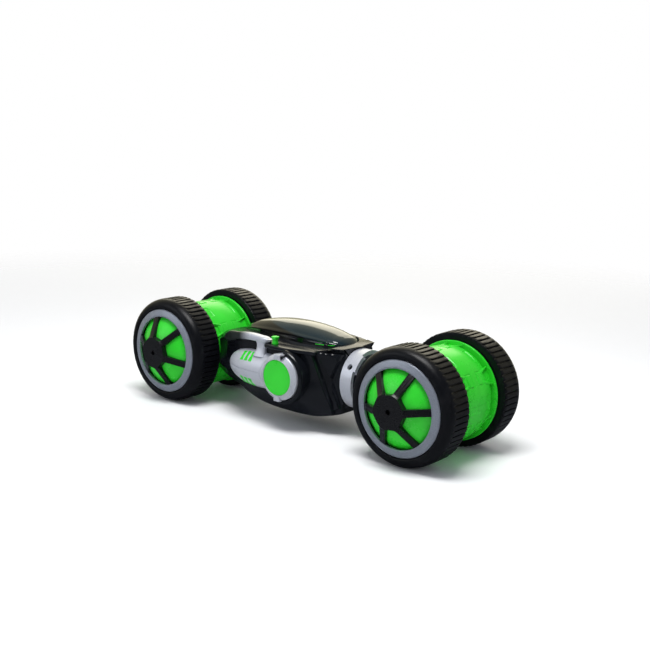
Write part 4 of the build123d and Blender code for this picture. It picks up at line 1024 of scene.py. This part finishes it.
def area_light(name, place, target, size, power, colour):
    """A rectangular lamp at a place, in metres, turned to face a target."""
    lamp = bpy.data.lights.new(name, "AREA")
    lamp.shape = "RECTANGLE"
    lamp.size, lamp.size_y = size
    lamp.energy = power
    lamp.color = colour
    light = bpy.data.objects.new(name, lamp)
    bpy.context.scene.collection.objects.link(light)
    light.location = place
    aim = mathutils.Vector(target) - mathutils.Vector(place)
    light.rotation_euler = aim.to_track_quat("-Z", "Y").to_euler()


def light_studio():
    """A white backdrop whose gloss light is dim in front and warm and pale behind, with soft boxes above."""
    world = bpy.data.worlds.new("studio")
    bpy.context.scene.world = world
    world.use_nodes = True
    room = Graph(world.node_tree)
    way = room.node("ShaderNodeTexCoord", output="Generated")
    behind = room.node("ShaderNodeVectorMath", {"operation": "DOT_PRODUCT"}, {0: way, 1: WARM_WALL}, output=1)
    gloss = room.mix(room.between(-0.1, 0.85, behind), (0.05, 0.06, 0.075, 1), (0.60, 0.56, 0.38, 1))
    is_gloss = room.node("ShaderNodeLightPath", output="Is Glossy Ray")
    is_camera = room.node("ShaderNodeLightPath", output="Is Camera Ray")
    colour = room.mix(is_camera, room.mix(is_gloss, (0.40, 0.42, 0.46, 1), gloss), (1, 1, 1, 1))
    room.feed(world.node_tree.nodes["Background"].inputs["Color"], colour)
    area_light("soft_box_above", (0.15, -0.25, 1.1), (0, 0, 0.05), (0.6, 0.4), 11.0, (1.0, 1.0, 1.0))
    area_light("warm_box_behind", (-0.9, 1.3, 0.9), (0, 0, 0.05), (1.6, 0.9), 9.0, (1.0, 0.93, 0.76))
    area_light("cool_fill_left", (-0.9, -1.2, 0.7), (0, 0, 0.05), (0.8, 0.8), 2.5, (0.92, 0.96, 1.0))


CAMERA_AZIMUTH = math.radians(39.82)
CAMERA_ELEVATION = math.radians(11.88)
CAMERA_ROLL = math.radians(1.45)
CAMERA_DISTANCE = 1.0216
CAMERA_TARGET = mathutils.Vector((0.018, 0.0, 0.1007))
CAMERA_LENS = 56.9           # on a sensor 36 mm wide


def set_camera():
    """A camera at an azimuth, elevation and distance from its target, rolled a little about its own axis."""
    level = math.cos(CAMERA_ELEVATION)
    back = mathutils.Vector((math.sin(CAMERA_AZIMUTH) * level, -math.cos(CAMERA_AZIMUTH) * level,
                             math.sin(CAMERA_ELEVATION)))
    data = bpy.data.cameras.new("camera")
    data.lens = CAMERA_LENS
    data.sensor_width = 36.0
    camera = bpy.data.objects.new("camera", data)
    bpy.context.scene.collection.objects.link(camera)
    aim = (-back).to_track_quat("-Z", "Y")
    camera.rotation_mode = "QUATERNION"
    camera.rotation_quaternion = aim @ mathutils.Quaternion((0, 0, 1), CAMERA_ROLL)
    camera.location = CAMERA_TARGET + back * CAMERA_DISTANCE
    bpy.context.scene.camera = camera


make_floor()
light_studio()
set_camera()
bpy.context.scene.view_settings.view_transform = "Standard"
